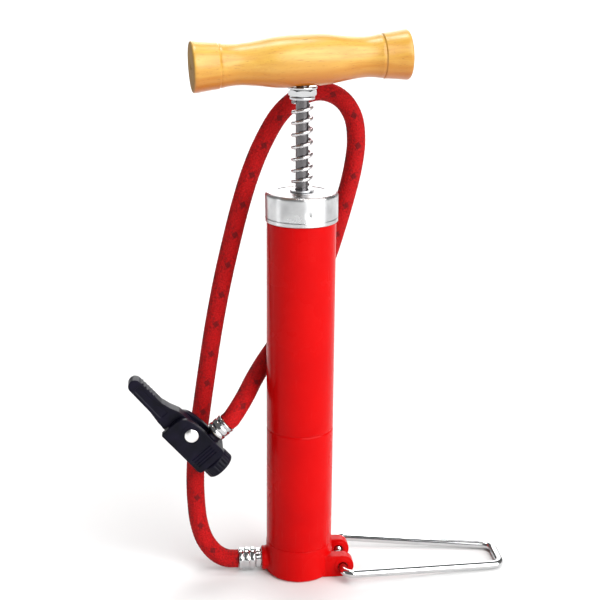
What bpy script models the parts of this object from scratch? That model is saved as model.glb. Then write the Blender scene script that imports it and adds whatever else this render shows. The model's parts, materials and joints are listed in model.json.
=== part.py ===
"""Ball inflation pump with a folding stirrup, a braided hose and a thumb-lock head.

Frame: the origin is on the barrel's axis at the underside of the base, +Z runs up
the barrel, +X runs out along the stirrup, and the hose leaves the base towards -X.
Sizes are in millimetres here, and every helper turns them into metres.
"""
import math

import bmesh
import bpy
from mathutils import Vector

MM = 0.001
GAP = 0.3  # clearance between faces that touch on the real pump

# Barrel and base
BARREL_RADIUS = 17.5
BARREL_BORE = 16.3
BASE_RADIUS = 17.9
BASE_TOP = 18.0
SPIGOT_RADIUS = 16.0
SPIGOT_TOP = 26.0
O_RING_Z = 21.6
O_RING_RADIUS = 0.85
BARREL_TOP = 194.0
BEAD_Z = 83.4

# Cap with the rod guide
CAP_RADIUS = 18.35
CAP_TOP = 209.0
CAP_POCKET_TOP = 204.0
CAP_POCKET_RADIUS = 6.0
CAP_ROOF = 203.0
CAP_SPIGOT_BOTTOM = 188.0
CAP_SPIGOT_BORE = 13.5
GUIDE_BOTTOM = 193.0
GUIDE_RADIUS = 8.2
WIPER_BOTTOM = 200.8

# Non-return valve in the base
CHAMBER_RADIUS = 3.4
CHAMBER_FLOOR = 3.5
SEAT_BOTTOM = 19.0
SEAT_RADIUS = 5.0
SEAT_BORE = 1.5
BALL_RADIUS = 2.6
BALL_Z = 16.5
VALVE_SPRING_RADIUS = 2.2
VALVE_SPRING_WIRE = 0.35

# Outlet and hose ends; outlet lengths count from the barrel's axis towards -X
OUTLET_Z = 6.8
BOSS_RADIUS = 6.5
BOSS_START = 12.0
BOSS_END = 20.5
THREAD_RADIUS = 3.4
THREAD_START = 16.0
PORT_RADIUS = 2.2
COLLAR_RADIUS = 5.6
COLLAR_END = 23.8
FERRULE_END = 32.6
FERRULE_RADIUS = 6.0
HOSE_RADIUS = 4.8
AIRWAY = 1.5
BARB_RADIUS = 2.9
BARB_ROOT = 2.4

# Rod and piston; heights are with the handle pushed down to rest
ROD_RADIUS = 3.175
ROD_BOTTOM = 49.2
ROD_TOP = 283.3
ROD_BORE = ROD_RADIUS + 0.33
PISTON_NUT_BOTTOM = 50.0
NUT_HEIGHT = 4.0
FRONT_WASHER_RADIUS = 10.0
CUP_RADIUS = 16.0
CUP_WALL = 1.4
CUP_LIP = 49.0
CUP_FLOOR = 55.6
CUP_TOP = 57.6
BACK_WASHER_RADIUS = 14.2
BACK_WASHER_TOP = 59.9
LOCK_NUT_HEIGHT = 3.0
SMALL_NUT_WIDTH = 10.0
WASHER_RADIUS = 6.2

# Buffer spring on the rod
SPRING_BOTTOM = 210.4
SPRING_TOP = 254.4
SPRING_RADIUS = 4.5
SPRING_WIRE = 0.95
SPRING_TURNS = 7.5
JAM_NUT_WIDTH = 12.0
JAM_NUT_HEIGHT = 3.2
THIN_WASHER = 1.2

# Handle
HANDLE_Z = 273.2
HANDLE_TILT = 2.5
HANDLE_YAW = 6.0
HANDLE_SHIFT = -0.8  # the wood sits slightly off the middle of the rod
HANDLE_BORE = 4.1
SPOT_FACE_DEPTH = 11.6
SPOT_FACE_RADIUS = 7.9
COUNTERBORE_FLOOR = 4.6
COUNTERBORE_RADIUS = 7.0
HANDLE_WASHER_RADIUS = 7.3
TOP_WASHER = 1.0
PLUG_BOTTOM = 10.6

# Stirrup and its ears
HINGE_X = 22.5
HINGE_Z = 6.2
EAR_RADIUS = 5.95
EAR_INNER = 6.4
EAR_OUTER = 12.6
WIRE_RADIUS = 2.2
STIRRUP_REACH = 110.0
STIRRUP_HALF_WIDTH = 21.0
STIRRUP_TIP_HALF_WIDTH = 11.5
STIRRUP_HINGE_BEND = 4.5
STIRRUP_TIP_BEND = 5.5

# Pump head: local +Z runs to the lever's tip, local +X runs to the hose, the origin is the pin
HEAD_PIN = (-57.0, -7.0, 85.7)
HEAD_TURN = -41.5
HEAD_HALF_WIDTH = 7.6
HEAD_AXIS = -2.65
HEAD_BOTTOM = -19.0
SLOT_FLOOR = -7.2
SLOT_HALF_WIDTH = 4.2
LEVER_HALF_WIDTH = 3.9
LEVER_LENGTH = 41.6
CAM_RADIUS = 5.2
CAM_OFFSET = -1.2
PIN_RADIUS = 2.0
PIN_HEAD_RADIUS = 3.6
PIN_END = 8.9
HOSE_PORT = -9.5
HEAD_AIRWAY = 1.3
PORT_COLLAR_START = 8.1
PORT_COLLAR_END = 9.4
HEAD_FERRULE_END = 16.2
HEAD_FERRULE_RADIUS = 5.5
MOUTH_END = -26.0
MOUTH_RADIUS = 4.7
CAP_THREAD_RADIUS = 6.4
HEAD_CAP_RADIUS = 7.8
SEAL_RADIUS = 6.1
SEAL_BORE = 3.2
PLUNGER_RADIUS = 2.8
PLUNGER_BORE = 1.2
PLUNGER_TOP = -5.6
PLUNGER_BOTTOM = -14.7

ROUND = 32  # facets round the large turned pieces
SMALL_ROUND = 20  # facets round the small ones

# The hose's route from the base ferrule to the head, chosen by hand
HOSE_ROUTE = [
    (-32.9, 0.0, 6.8),
    (-35.4, 0.0, 6.8),
    (-39.6, 0.4, 7.2),
    (-45.2, 1.4, 10.2),
    (-50.6, 3.0, 17.2),
    (-53.8, 4.8, 27.2),
    (-55.0, 6.6, 38.8),
    (-55.2, 8.2, 52.0),
    (-54.0, 10.0, 69.0),
    (-51.3, 11.6, 89.0),
    (-47.8, 13.2, 112.0),
    (-43.8, 14.8, 136.0),
    (-39.2, 16.4, 159.0),
    (-34.2, 18.0, 180.0),
    (-29.3, 19.4, 198.5),
    (-23.8, 20.8, 215.5),
    (-17.0, 22.2, 231.0),
    (-8.4, 23.6, 244.6),
    (2.0, 24.8, 252.8),
    (12.8, 26.0, 255.0),
    (22.6, 27.0, 251.0),
    (29.0, 27.6, 242.0),
    (31.0, 28.0, 229.4),
    (29.6, 28.2, 215.0),
    (26.2, 28.4, 199.8),
    (21.8, 28.4, 183.6),
    (16.6, 28.2, 167.0),
    (9.6, 27.6, 150.6),
    (0.2, 26.6, 134.8),
    (-9.8, 24.0, 121.4),
    (-17.6, 19.2, 111.9),
    (-23.6, 11.4, 105.2),
    (-28.4, 2.6, 99.9),
    (-33.0, -4.0, 95.0),
    (-36.33, -7.0, 91.3),
    (-38.35, -7.0, 89.51),
]
HOSE_STEP = 9.0


def clear_scene():
    """Remove whatever the file holds, so the script can be run again."""
    for old in list(bpy.data.objects):
        bpy.data.objects.remove(old, do_unlink=True)


def material(name, colour, roughness, metallic=0.0):
    """A Principled material; colour is linear red, green and blue."""
    made = bpy.data.materials.new(name)
    made.use_nodes = True
    shader = made.node_tree.nodes["Principled BSDF"]
    shader.inputs["Base Color"].default_value = (*colour, 1.0)
    shader.inputs["Roughness"].default_value = roughness
    shader.inputs["Metallic"].default_value = metallic
    made.diffuse_color = (*colour, 1.0)
    return made


def add(name, data, finish, parent=None, at=(0.0, 0.0, 0.0), turn=(0.0, 0.0, 0.0)):
    """Link data as an object; at is in millimetres and turn in degrees."""
    made = bpy.data.objects.new(name, data)
    bpy.context.scene.collection.objects.link(made)
    made.parent = parent
    made.location = Vector(at) * MM
    made.rotation_euler = [math.radians(angle) for angle in turn]
    if finish is not None:
        data.materials.append(finish)
    return made


def finish_mesh(name, shape, smooth_angle=35.0):
    """Close a bmesh into a mesh whose faces point out."""
    bmesh.ops.remove_doubles(shape, verts=shape.verts, dist=0.001 * MM)
    bmesh.ops.recalc_face_normals(shape, faces=shape.faces)
    mesh = bpy.data.meshes.new(name)
    shape.to_mesh(mesh)
    shape.free()
    mesh.shade_smooth()
    mesh.set_sharp_from_angle(angle=math.radians(smooth_angle))
    return mesh


def turned_mesh(name, outline, facets=ROUND, ring=True):
    """Spin an outline of (radius, height) round local Z; a ring's outline is a closed loop."""
    shape = bmesh.new()
    points = [shape.verts.new((radius * MM, 0.0, height * MM)) for radius, height in outline]
    pairs = list(zip(points, points[1:]))
    if ring:
        pairs.append((points[-1], points[0]))
    edges = [shape.edges.new(pair) for pair in pairs]
    bmesh.ops.spin(
        shape,
        geom=points + edges,
        cent=(0.0, 0.0, 0.0),
        axis=(0.0, 0.0, 1.0),
        angle=math.tau,
        steps=facets,
        use_merge=True,
    )
    return finish_mesh(name, shape)


def turned(name, outline, finish, facets=ROUND, ring=True, **place):
    """A turned piece as an object."""
    return add(name, turned_mesh(name, outline, facets, ring), finish, **place)


def washer(name, inner, outer, bottom, top, finish, facets=SMALL_ROUND, **place):
    """A flat ring between two heights."""
    outline = [(outer, bottom), (outer, top), (inner, top), (inner, bottom)]
    return turned(name, outline, finish, facets, **place)


def plate_mesh(name, outline, half_thickness):
    """Extrude an outline of (x, z) to both sides of the plane y = 0."""
    shape = bmesh.new()
    near = [shape.verts.new((x * MM, -half_thickness * MM, z * MM)) for x, z in outline]
    face = shape.faces.new(near)
    extruded = bmesh.ops.extrude_face_region(shape, geom=[face])
    moved = [item for item in extruded["geom"] if isinstance(item, bmesh.types.BMVert)]
    bmesh.ops.translate(shape, verts=moved, vec=(0.0, 2.0 * half_thickness * MM, 0.0))
    return finish_mesh(name, shape)


def arc(centre, radius, start, end, steps):
    """Points on an arc in the plane of an outline, from start to end degrees."""
    angles = [math.radians(start + (end - start) * step / steps) for step in range(steps + 1)]
    return [
        (centre[0] + radius * math.cos(angle), centre[1] + radius * math.sin(angle))
        for angle in angles
    ]


def cylinder_mesh(name, radius, length, facets=SMALL_ROUND):
    """A solid cylinder centred on local Z."""
    shape = bmesh.new()
    bmesh.ops.create_cone(
        shape,
        cap_ends=True,
        segments=facets,
        radius1=radius * MM,
        radius2=radius * MM,
        depth=length * MM,
    )
    return finish_mesh(name, shape)


def hide_tool(tool):
    """Keep a cutter or a blank out of the finished pump."""
    tool.hide_render = True
    tool.display_type = "WIRE"


def combine(target, tool, operation):
    """Join a blank to the target or cut the target with it."""
    hide_tool(tool)
    step = target.modifiers.new(f"{operation.lower()}_{tool.name}", "BOOLEAN")
    step.operation = operation
    step.solver = "EXACT"
    step.object = tool


def bevel(target, width, segments=2):
    """Round the sharp edges."""
    step = target.modifiers.new("bevel", "BEVEL")
    step.width = width * MM
    step.segments = segments
    step.limit_method = "ANGLE"
    step.angle_limit = math.radians(40.0)


def hex_nut(name, across_flats, bottom, height, finish):
    """A hexagon nut on the rod, with a plain bore."""
    place = (0.0, 0.0, bottom + height / 2.0)
    nut = add(name, cylinder_mesh(name, across_flats / math.sqrt(3.0), height, 6), finish, at=place)
    drill = add(f"{name}_drill", cylinder_mesh(f"{name}_drill", ROD_BORE, height + 2.0), None, at=place)
    combine(nut, drill, "DIFFERENCE")


def tube_curve(name, points, radius, finish, sides=2, **place):
    """A round bar along points, with filled ends."""
    curve = bpy.data.curves.new(name, "CURVE")
    curve.dimensions = "3D"
    curve.bevel_depth = radius * MM
    curve.bevel_resolution = sides
    curve.use_fill_caps = True
    spline = curve.splines.new("POLY")
    spline.points.add(len(points) - 1)
    for knot, point in zip(spline.points, points):
        knot.co = (*(Vector(point) * MM), 1.0)
    return add(name, curve, finish, **place)


def smooth_route(route, step):
    """Points about step apart on a smooth curve through the route (centripetal Catmull-Rom)."""
    knots = [Vector(point) for point in route]
    knots.insert(0, 2.0 * knots[0] - knots[1])
    knots.append(2.0 * knots[-1] - knots[-2])
    fine = []
    for before, first, second, after in zip(knots, knots[1:], knots[2:], knots[3:]):
        times = [0.0]
        for one, other in ((before, first), (first, second), (second, after)):
            times.append(times[-1] + math.sqrt((other - one).length))
        for part in range(12):
            now = times[1] + (times[2] - times[1]) * part / 12.0
            low = [
                one.lerp(other, (now - begin) / (end - begin))
                for one, other, begin, end in (
                    (before, first, times[0], times[1]),
                    (first, second, times[1], times[2]),
                    (second, after, times[2], times[3]),
                )
            ]
            middle = [
                low[0].lerp(low[1], (now - times[0]) / (times[2] - times[0])),
                low[1].lerp(low[2], (now - times[1]) / (times[3] - times[1])),
            ]
            share = (now - times[1]) / (times[2] - times[1])
            fine.append(middle[0].lerp(middle[1], share))
    fine.append(knots[-2])
    lengths = [0.0]
    for one, other in zip(fine, fine[1:]):
        lengths.append(lengths[-1] + (other - one).length)
    count = max(2, round(lengths[-1] / step))
    out = []
    place = 0
    for index in range(count + 1):
        want = lengths[-1] * index / count
        while place < len(fine) - 2 and lengths[place + 1] < want:
            place += 1
        share = (want - lengths[place]) / (lengths[place + 1] - lengths[place])
        out.append(fine[place].lerp(fine[place + 1], share))
    return out


def helix(radius, bottom, top, turns, points_per_turn):
    """A coil round Z whose end turns close up."""
    count = round(turns * points_per_turn)
    points = []
    for index in range(count + 1):
        share = index / count
        eased = share - 0.75 / (turns * math.tau) * math.sin(math.tau * share)
        angle = math.tau * turns * share
        height = bottom + (top - bottom) * eased
        points.append((radius * math.cos(angle), radius * math.sin(angle), height))
    return points


def make_base(paint):
    """The cast base: foot, spigot, valve chamber, stirrup ears and outlet boss."""
    outline = [
        (0.0, 0.0),
        (16.6, 0.0),
        (BASE_RADIUS, 1.3),
        (BASE_RADIUS, BASE_TOP),
        (SPIGOT_RADIUS, BASE_TOP),
        (SPIGOT_RADIUS, O_RING_Z - 1.2),
        (SPIGOT_RADIUS - 2.1, O_RING_Z - 1.2),
        (SPIGOT_RADIUS - 2.1, O_RING_Z + 1.2),
        (SPIGOT_RADIUS, O_RING_Z + 1.2),
        (SPIGOT_RADIUS, SPIGOT_TOP - 0.8),
        (SPIGOT_RADIUS - 0.8, SPIGOT_TOP),
        (SEAT_RADIUS + GAP, SPIGOT_TOP),
        (SEAT_RADIUS + GAP, SEAT_BOTTOM - GAP),
        (CHAMBER_RADIUS, SEAT_BOTTOM - GAP),
        (CHAMBER_RADIUS, CHAMBER_FLOOR),
        (0.0, CHAMBER_FLOOR),
    ]
    base = turned("base_casting", outline, paint, ring=False)
    ear_outline = [(10.0, HINGE_Z - EAR_RADIUS)]
    ear_outline += arc((HINGE_X, HINGE_Z), EAR_RADIUS, -90.0, 90.0, 10)
    ear_outline.append((10.0, HINGE_Z + EAR_RADIUS))
    middle = (EAR_INNER + EAR_OUTER) / 2.0
    for side, place in (("near", -middle), ("far", middle)):
        mesh = plate_mesh(f"ear_{side}", ear_outline, (EAR_OUTER - EAR_INNER) / 2.0)
        combine(base, add(f"ear_{side}", mesh, paint, at=(0.0, place, 0.0)), "UNION")
    boss_mesh = cylinder_mesh("outlet_boss", BOSS_RADIUS, BOSS_END - BOSS_START, 24)
    boss_place = (-(BOSS_END + BOSS_START) / 2.0, 0.0, OUTLET_Z)
    boss = add("outlet_boss", boss_mesh, paint, at=boss_place, turn=(0.0, -90.0, 0.0))
    combine(base, boss, "UNION")
    thread_bore = THREAD_RADIUS + GAP
    port_outline = [
        (0.0, 0.0),
        (PORT_RADIUS, 0.0),
        (PORT_RADIUS, THREAD_START - 0.5),
        (thread_bore, THREAD_START - 0.5),
        (thread_bore, BOSS_END + 1.5),
        (0.0, BOSS_END + 1.5),
    ]
    port_place = {"at": (0.0, 0.0, OUTLET_Z), "turn": (0.0, -90.0, 0.0)}
    port = turned("outlet_port", port_outline, None, SMALL_ROUND, False, **port_place)
    combine(base, port, "DIFFERENCE")
    drill_mesh = cylinder_mesh("hinge_drill", WIRE_RADIUS + GAP, 4.0 * EAR_OUTER, 16)
    drill_place = {"at": (HINGE_X, 0.0, HINGE_Z), "turn": (90.0, 0.0, 0.0)}
    combine(base, add("hinge_drill", drill_mesh, None, **drill_place), "DIFFERENCE")


def make_barrel(paint, chrome, rubber, brass, felt):
    """The barrel tube, its cap, the rod guide and the seals."""
    tube = [
        (BARREL_RADIUS, BASE_TOP + GAP),
        (BARREL_RADIUS, BEAD_Z - 0.5),
        (BARREL_RADIUS - 0.25, BEAD_Z),
        (BARREL_RADIUS, BEAD_Z + 0.5),
        (BARREL_RADIUS, BARREL_TOP),
        (BARREL_BORE, BARREL_TOP),
        (BARREL_BORE, BASE_TOP + GAP),
    ]
    turned("barrel_tube", tube, paint)
    section = arc((15.05, O_RING_Z), O_RING_RADIUS, 0.0, 300.0, 5)
    turned("base_o_ring", section, rubber, 20)
    cap = [
        (CAP_RADIUS, BARREL_TOP + GAP),
        (CAP_RADIUS, CAP_TOP - 1.2),
        (CAP_RADIUS - 0.4, CAP_TOP - 0.4),
        (CAP_RADIUS - 1.2, CAP_TOP),
        (ROD_BORE + 0.1, CAP_TOP),
        (ROD_BORE + 0.1, CAP_POCKET_TOP),
        (CAP_POCKET_RADIUS, CAP_POCKET_TOP),
        (CAP_POCKET_RADIUS, GUIDE_BOTTOM),
        (GUIDE_RADIUS, GUIDE_BOTTOM),
        (GUIDE_RADIUS, CAP_ROOF),
        (CAP_SPIGOT_BORE, CAP_ROOF),
        (CAP_SPIGOT_BORE, CAP_SPIGOT_BOTTOM),
        (SPIGOT_RADIUS, CAP_SPIGOT_BOTTOM),
        (SPIGOT_RADIUS, BARREL_TOP + GAP),
    ]
    turned("top_cap", cap, chrome)
    inside = CAP_POCKET_RADIUS - GAP
    washer("rod_wiper", ROD_BORE, inside, WIPER_BOTTOM, CAP_POCKET_TOP - GAP, felt)
    washer("rod_guide_bush", ROD_BORE, inside, GUIDE_BOTTOM + GAP, WIPER_BOTTOM - GAP, brass)


def make_valve(brass, steel):
    """The non-return valve that sits in the base's chamber."""
    washer("check_valve_seat", SEAT_BORE, SEAT_RADIUS, SEAT_BOTTOM, SPIGOT_TOP - 0.2, brass)
    ball = arc((0.0, 0.0), BALL_RADIUS, 90.0, -90.0, 10)
    ball[0] = (0.0, BALL_RADIUS)
    ball[-1] = (0.0, -BALL_RADIUS)
    turned("check_valve_ball", ball, steel, 16, False, at=(0, 0, BALL_Z))
    spring_top = BALL_Z - BALL_RADIUS - GAP - VALVE_SPRING_WIRE
    spring_bottom = CHAMBER_FLOOR + GAP + VALVE_SPRING_WIRE
    coil = helix(VALVE_SPRING_RADIUS, spring_bottom, spring_top, 5.0, 10)
    tube_curve("check_valve_spring", coil, VALVE_SPRING_WIRE, steel, 0)


def make_outlet(chrome, braid):
    """The outlet nipple, the crimped ferrule and the hose."""
    outlet = {"at": (0.0, 0.0, OUTLET_Z), "turn": (0.0, -90.0, 0.0)}
    nipple = [
        (AIRWAY, THREAD_START),
        (AIRWAY, FERRULE_END - 1.6),
        (BARB_ROOT, FERRULE_END - 1.6),
        (BARB_RADIUS, COLLAR_END + 4.5),
        (BARB_ROOT, COLLAR_END + 4.5),
        (BARB_RADIUS, COLLAR_END + 1.5),
        (BARB_ROOT, COLLAR_END + 1.5),
        (BARB_ROOT, COLLAR_END),
        (COLLAR_RADIUS - 0.6, COLLAR_END),
        (COLLAR_RADIUS, COLLAR_END - 0.6),
        (COLLAR_RADIUS, BOSS_END + GAP + 0.6),
        (COLLAR_RADIUS - 0.6, BOSS_END + GAP),
        (THREAD_RADIUS, BOSS_END + GAP),
        (THREAD_RADIUS, THREAD_START),
    ]
    turned("outlet_nipple", nipple, chrome, 18, **outlet)
    washer("base_ferrule", 4.4, FERRULE_RADIUS, COLLAR_END + GAP, FERRULE_END, chrome, 24, **outlet)
    # The hose leaves each ferrule straight, along the first and last two points
    route = [HOSE_ROUTE[0]] + smooth_route(HOSE_ROUTE[1:-1], HOSE_STEP) + [HOSE_ROUTE[-1]]
    tube_curve("hose", route, HOSE_RADIUS, braid, 3)


def make_head(plastic, chrome, brass, rubber):
    """The thumb-lock head on the hose's free end."""
    head = bpy.data.objects.new("head_frame", None)
    bpy.context.scene.collection.objects.link(head)
    head.location = Vector(HEAD_PIN) * MM
    head.rotation_euler = (0.0, math.radians(HEAD_TURN), 0.0)

    # Side outline of the body and its ears, in (hose side, lever side)
    side = [(-11.3, HEAD_BOTTOM), (6.0, HEAD_BOTTOM), (6.0, -3.0), (5.4, 3.0), (4.2, 7.6)]
    side += [(1.8, 10.2), (-1.0, 10.8), (-10.6, 10.8), (-11.3, 10.1)]
    body_mesh = plate_mesh("head_body", side, HEAD_HALF_WIDTH)
    body = add("head_body", body_mesh, plastic, head)
    bevel(body, 1.4)
    port_mesh = cylinder_mesh("head_port_boss", 4.6, 6.0, 20)
    port_place = {"at": (4.8, 0.0, HOSE_PORT), "turn": (0.0, 90.0, 0.0)}
    combine(body, add("head_port_boss", port_mesh, plastic, head, **port_place), "UNION")
    slot_outline = [(-14.0, SLOT_FLOOR), (6.3, SLOT_FLOOR), (6.3, 14.0), (-14.0, 14.0)]
    slot = add("lever_slot", plate_mesh("lever_slot", slot_outline, SLOT_HALF_WIDTH), None, head)
    combine(body, slot, "DIFFERENCE")
    seal_bore = SEAL_RADIUS + 0.5
    stem_bore = PLUNGER_RADIUS + GAP
    shoulder = PLUNGER_BOTTOM + 1.5
    bore = [(0.0, HEAD_BOTTOM - 2.0), (seal_bore, HEAD_BOTTOM - 2.0), (seal_bore, shoulder)]
    bore += [(stem_bore, shoulder), (stem_bore, SLOT_FLOOR + 3.0), (0.0, SLOT_FLOOR + 3.0)]
    valve_bore = turned("valve_bore", bore, None, 24, False, parent=head, at=(HEAD_AXIS, 0, 0))
    combine(body, valve_bore, "DIFFERENCE")
    along_hose = {"parent": head, "at": (0.0, 0.0, HOSE_PORT), "turn": (0.0, 90.0, 0.0)}
    thread_bore = BARB_ROOT + GAP
    port = [(0.0, -1.0), (HEAD_AIRWAY, -1.0), (HEAD_AIRWAY, 6.4)]
    port += [(thread_bore, 6.4), (thread_bore, 9.0), (0.0, 9.0)]
    combine(body, turned("hose_port", port, None, 16, False, **along_hose), "DIFFERENCE")
    drill = cylinder_mesh("pin_drill", PIN_RADIUS + GAP, 4.0 * HEAD_HALF_WIDTH, 16)
    combine(body, add("pin_drill", drill, None, head, turn=(90.0, 0.0, 0.0)), "DIFFERENCE")

    cap = [
        (HEAD_CAP_RADIUS - 0.6, HEAD_BOTTOM - GAP),
        (CAP_THREAD_RADIUS, HEAD_BOTTOM - GAP),
        (CAP_THREAD_RADIUS, MOUTH_END + 2.0),
        (MOUTH_RADIUS, MOUTH_END + 2.0),
        (MOUTH_RADIUS, MOUTH_END),
        (HEAD_CAP_RADIUS - 0.8, MOUTH_END),
        (HEAD_CAP_RADIUS, MOUTH_END + 0.8),
        (HEAD_CAP_RADIUS, HEAD_BOTTOM - GAP - 0.8),
    ]
    on_axis = {"parent": head, "at": (HEAD_AXIS, 0.0, 0.0)}
    turned("head_cap", cap, plastic, 28, **on_axis)
    washer("valve_grommet", SEAL_BORE, SEAL_RADIUS, MOUTH_END + 2.3, -16.2, rubber, **on_axis)
    plunger = [
        (PLUNGER_BORE, PLUNGER_TOP),
        (PLUNGER_BORE, PLUNGER_BOTTOM),
        (SEAL_RADIUS, PLUNGER_BOTTOM),
        (SEAL_RADIUS, PLUNGER_BOTTOM + 1.2),
        (PLUNGER_RADIUS, PLUNGER_BOTTOM + 1.2),
        (PLUNGER_RADIUS, PLUNGER_TOP),
    ]
    turned("plunger", plunger, brass, 20, **on_axis)

    nipple = [
        (HEAD_AIRWAY, 6.7),
        (HEAD_AIRWAY, HEAD_FERRULE_END - 1.0),
        (BARB_ROOT, HEAD_FERRULE_END - 1.0),
        (BARB_RADIUS, 12.0),
        (BARB_ROOT, 12.0),
        (BARB_ROOT, PORT_COLLAR_END),
        (4.2, PORT_COLLAR_END),
        (4.2, PORT_COLLAR_START),
        (BARB_ROOT, PORT_COLLAR_START),
        (BARB_ROOT, 6.7),
    ]
    turned("head_nipple", nipple, brass, 16, **along_hose)
    washer("head_ferrule", 4.5, HEAD_FERRULE_RADIUS, 8.4, HEAD_FERRULE_END, chrome, 24, **along_hose)

    head_face = HEAD_HALF_WIDTH + GAP
    shaft = [
        (0.0, -PIN_END),
        (PIN_HEAD_RADIUS - 0.8, -PIN_END),
        (PIN_HEAD_RADIUS, -PIN_END + 0.7),
        (PIN_HEAD_RADIUS, -head_face),
        (PIN_RADIUS, -head_face),
    ]
    shaft += [(radius, -height) for radius, height in reversed(shaft)]
    turned("lever_pin", shaft, chrome, 16, False, parent=head, turn=(90.0, 0.0, 0.0))

    # Side outline of the lever: an eccentric cam, a shoulder outside the ears and a slim arm
    cam_end = arc((CAM_OFFSET, 0.0), CAM_RADIUS, 180.0, 380.0, 10)
    arm = [(3.6, 9.0), (3.2, 12.6), (1.2, 17.5), (0.0, 22.5), (-0.3, LEVER_LENGTH - 2.2)]
    arm += [(-1.8, LEVER_LENGTH - 0.4), (-3.8, LEVER_LENGTH), (-6.0, LEVER_LENGTH - 0.6)]
    arm += [(-7.2, LEVER_LENGTH - 2.4), (-7.6, 22.5), (-8.6, 16.0), (-8.8, 12.3)]
    arm += [(-6.6, 11.4), (-6.4, 6.0)]
    lever = add("lever", plate_mesh("lever", cam_end + arm, LEVER_HALF_WIDTH), plastic, head)
    bevel(lever, 0.7, 1)
    hole_mesh = cylinder_mesh("lever_hole", PIN_RADIUS + GAP, 3.0 * LEVER_HALF_WIDTH, 16)
    combine(lever, add("lever_hole", hole_mesh, None, head, turn=(90.0, 0.0, 0.0)), "DIFFERENCE")


def make_stirrup(chrome):
    """The foot stirrup: one bent wire whose ends turn in the base's ears."""
    slope = (HINGE_Z - WIRE_RADIUS) / (STIRRUP_REACH - HINGE_X)
    leg_turn = math.degrees(math.atan2(
        STIRRUP_HALF_WIDTH - STIRRUP_TIP_HALF_WIDTH,
        STIRRUP_REACH - HINGE_X,
    ))
    hinge_bend = (STIRRUP_HINGE_BEND, STIRRUP_HALF_WIDTH - STIRRUP_HINGE_BEND)
    tip_bend = (STIRRUP_REACH - HINGE_X - STIRRUP_TIP_BEND, STIRRUP_TIP_HALF_WIDTH - STIRRUP_TIP_BEND)
    half = [(0.0, EAR_INNER - 1.2), (0.0, (EAR_INNER + hinge_bend[1]) / 2.0)]
    half += arc(hinge_bend, STIRRUP_HINGE_BEND, 180.0, 90.0 - leg_turn, 5)
    leg_start = half[-1]
    corner = arc(tip_bend, STIRRUP_TIP_BEND, 90.0 - leg_turn, 0.0, 5)
    for step in range(1, 5):
        share = step / 5.0
        half.append(tuple(a + (b - a) * share for a, b in zip(leg_start, corner[0])))
    half += corner
    flat = half + [(reach, -width) for reach, width in reversed(half)]
    points = [(reach, width, -slope * reach) for reach, width in flat]
    tube_curve("stirrup", points, WIRE_RADIUS, chrome, 2, at=(HINGE_X, 0.0, HINGE_Z))


def make_rod(steel, leather, rod_steel, spring_steel):
    """The rod, the piston on its lower end, and the buffer spring under the handle."""
    washer("spring_bottom_washer", ROD_BORE, WASHER_RADIUS, CAP_TOP + GAP, SPRING_BOTTOM - GAP, steel)
    coil_bottom = SPRING_BOTTOM + SPRING_WIRE
    coil_top = SPRING_TOP - SPRING_WIRE
    coil = helix(SPRING_RADIUS, coil_bottom, coil_top, SPRING_TURNS, 12)
    tube_curve("buffer_spring", coil, SPRING_WIRE, spring_steel, 1)
    top_washer = SPRING_TOP + GAP
    washer("spring_top_washer", ROD_BORE, WASHER_RADIUS, top_washer, top_washer + THIN_WASHER, steel)

    rod = [(0.0, ROD_BOTTOM), (ROD_RADIUS, ROD_BOTTOM), (ROD_RADIUS, ROD_TOP), (0.0, ROD_TOP)]
    turned("piston_rod", rod, rod_steel, SMALL_ROUND, False)
    hex_nut("piston_nut", SMALL_NUT_WIDTH, PISTON_NUT_BOTTOM, NUT_HEIGHT, steel)
    front_washer = PISTON_NUT_BOTTOM + NUT_HEIGHT + GAP
    washer("piston_front_washer", ROD_BORE, FRONT_WASHER_RADIUS, front_washer, CUP_FLOOR - GAP, steel)
    cup = [
        (ROD_BORE, CUP_FLOOR),
        (CUP_RADIUS - 2.0 * CUP_WALL, CUP_FLOOR),
        (CUP_RADIUS - CUP_WALL, CUP_FLOOR - 1.2),
        (CUP_RADIUS - CUP_WALL, CUP_LIP),
        (CUP_RADIUS, CUP_LIP),
        (CUP_RADIUS, CUP_TOP - 1.4),
        (CUP_RADIUS - 1.4, CUP_TOP),
        (ROD_BORE, CUP_TOP),
    ]
    turned("piston_cup", cup, leather, 28)
    back_washer = CUP_TOP + GAP
    washer("piston_back_washer", ROD_BORE, BACK_WASHER_RADIUS, back_washer, BACK_WASHER_TOP, steel, 28)
    lock_nut = BACK_WASHER_TOP + GAP
    hex_nut("piston_lock_nut", SMALL_NUT_WIDTH, lock_nut, LOCK_NUT_HEIGHT, steel)


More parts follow.
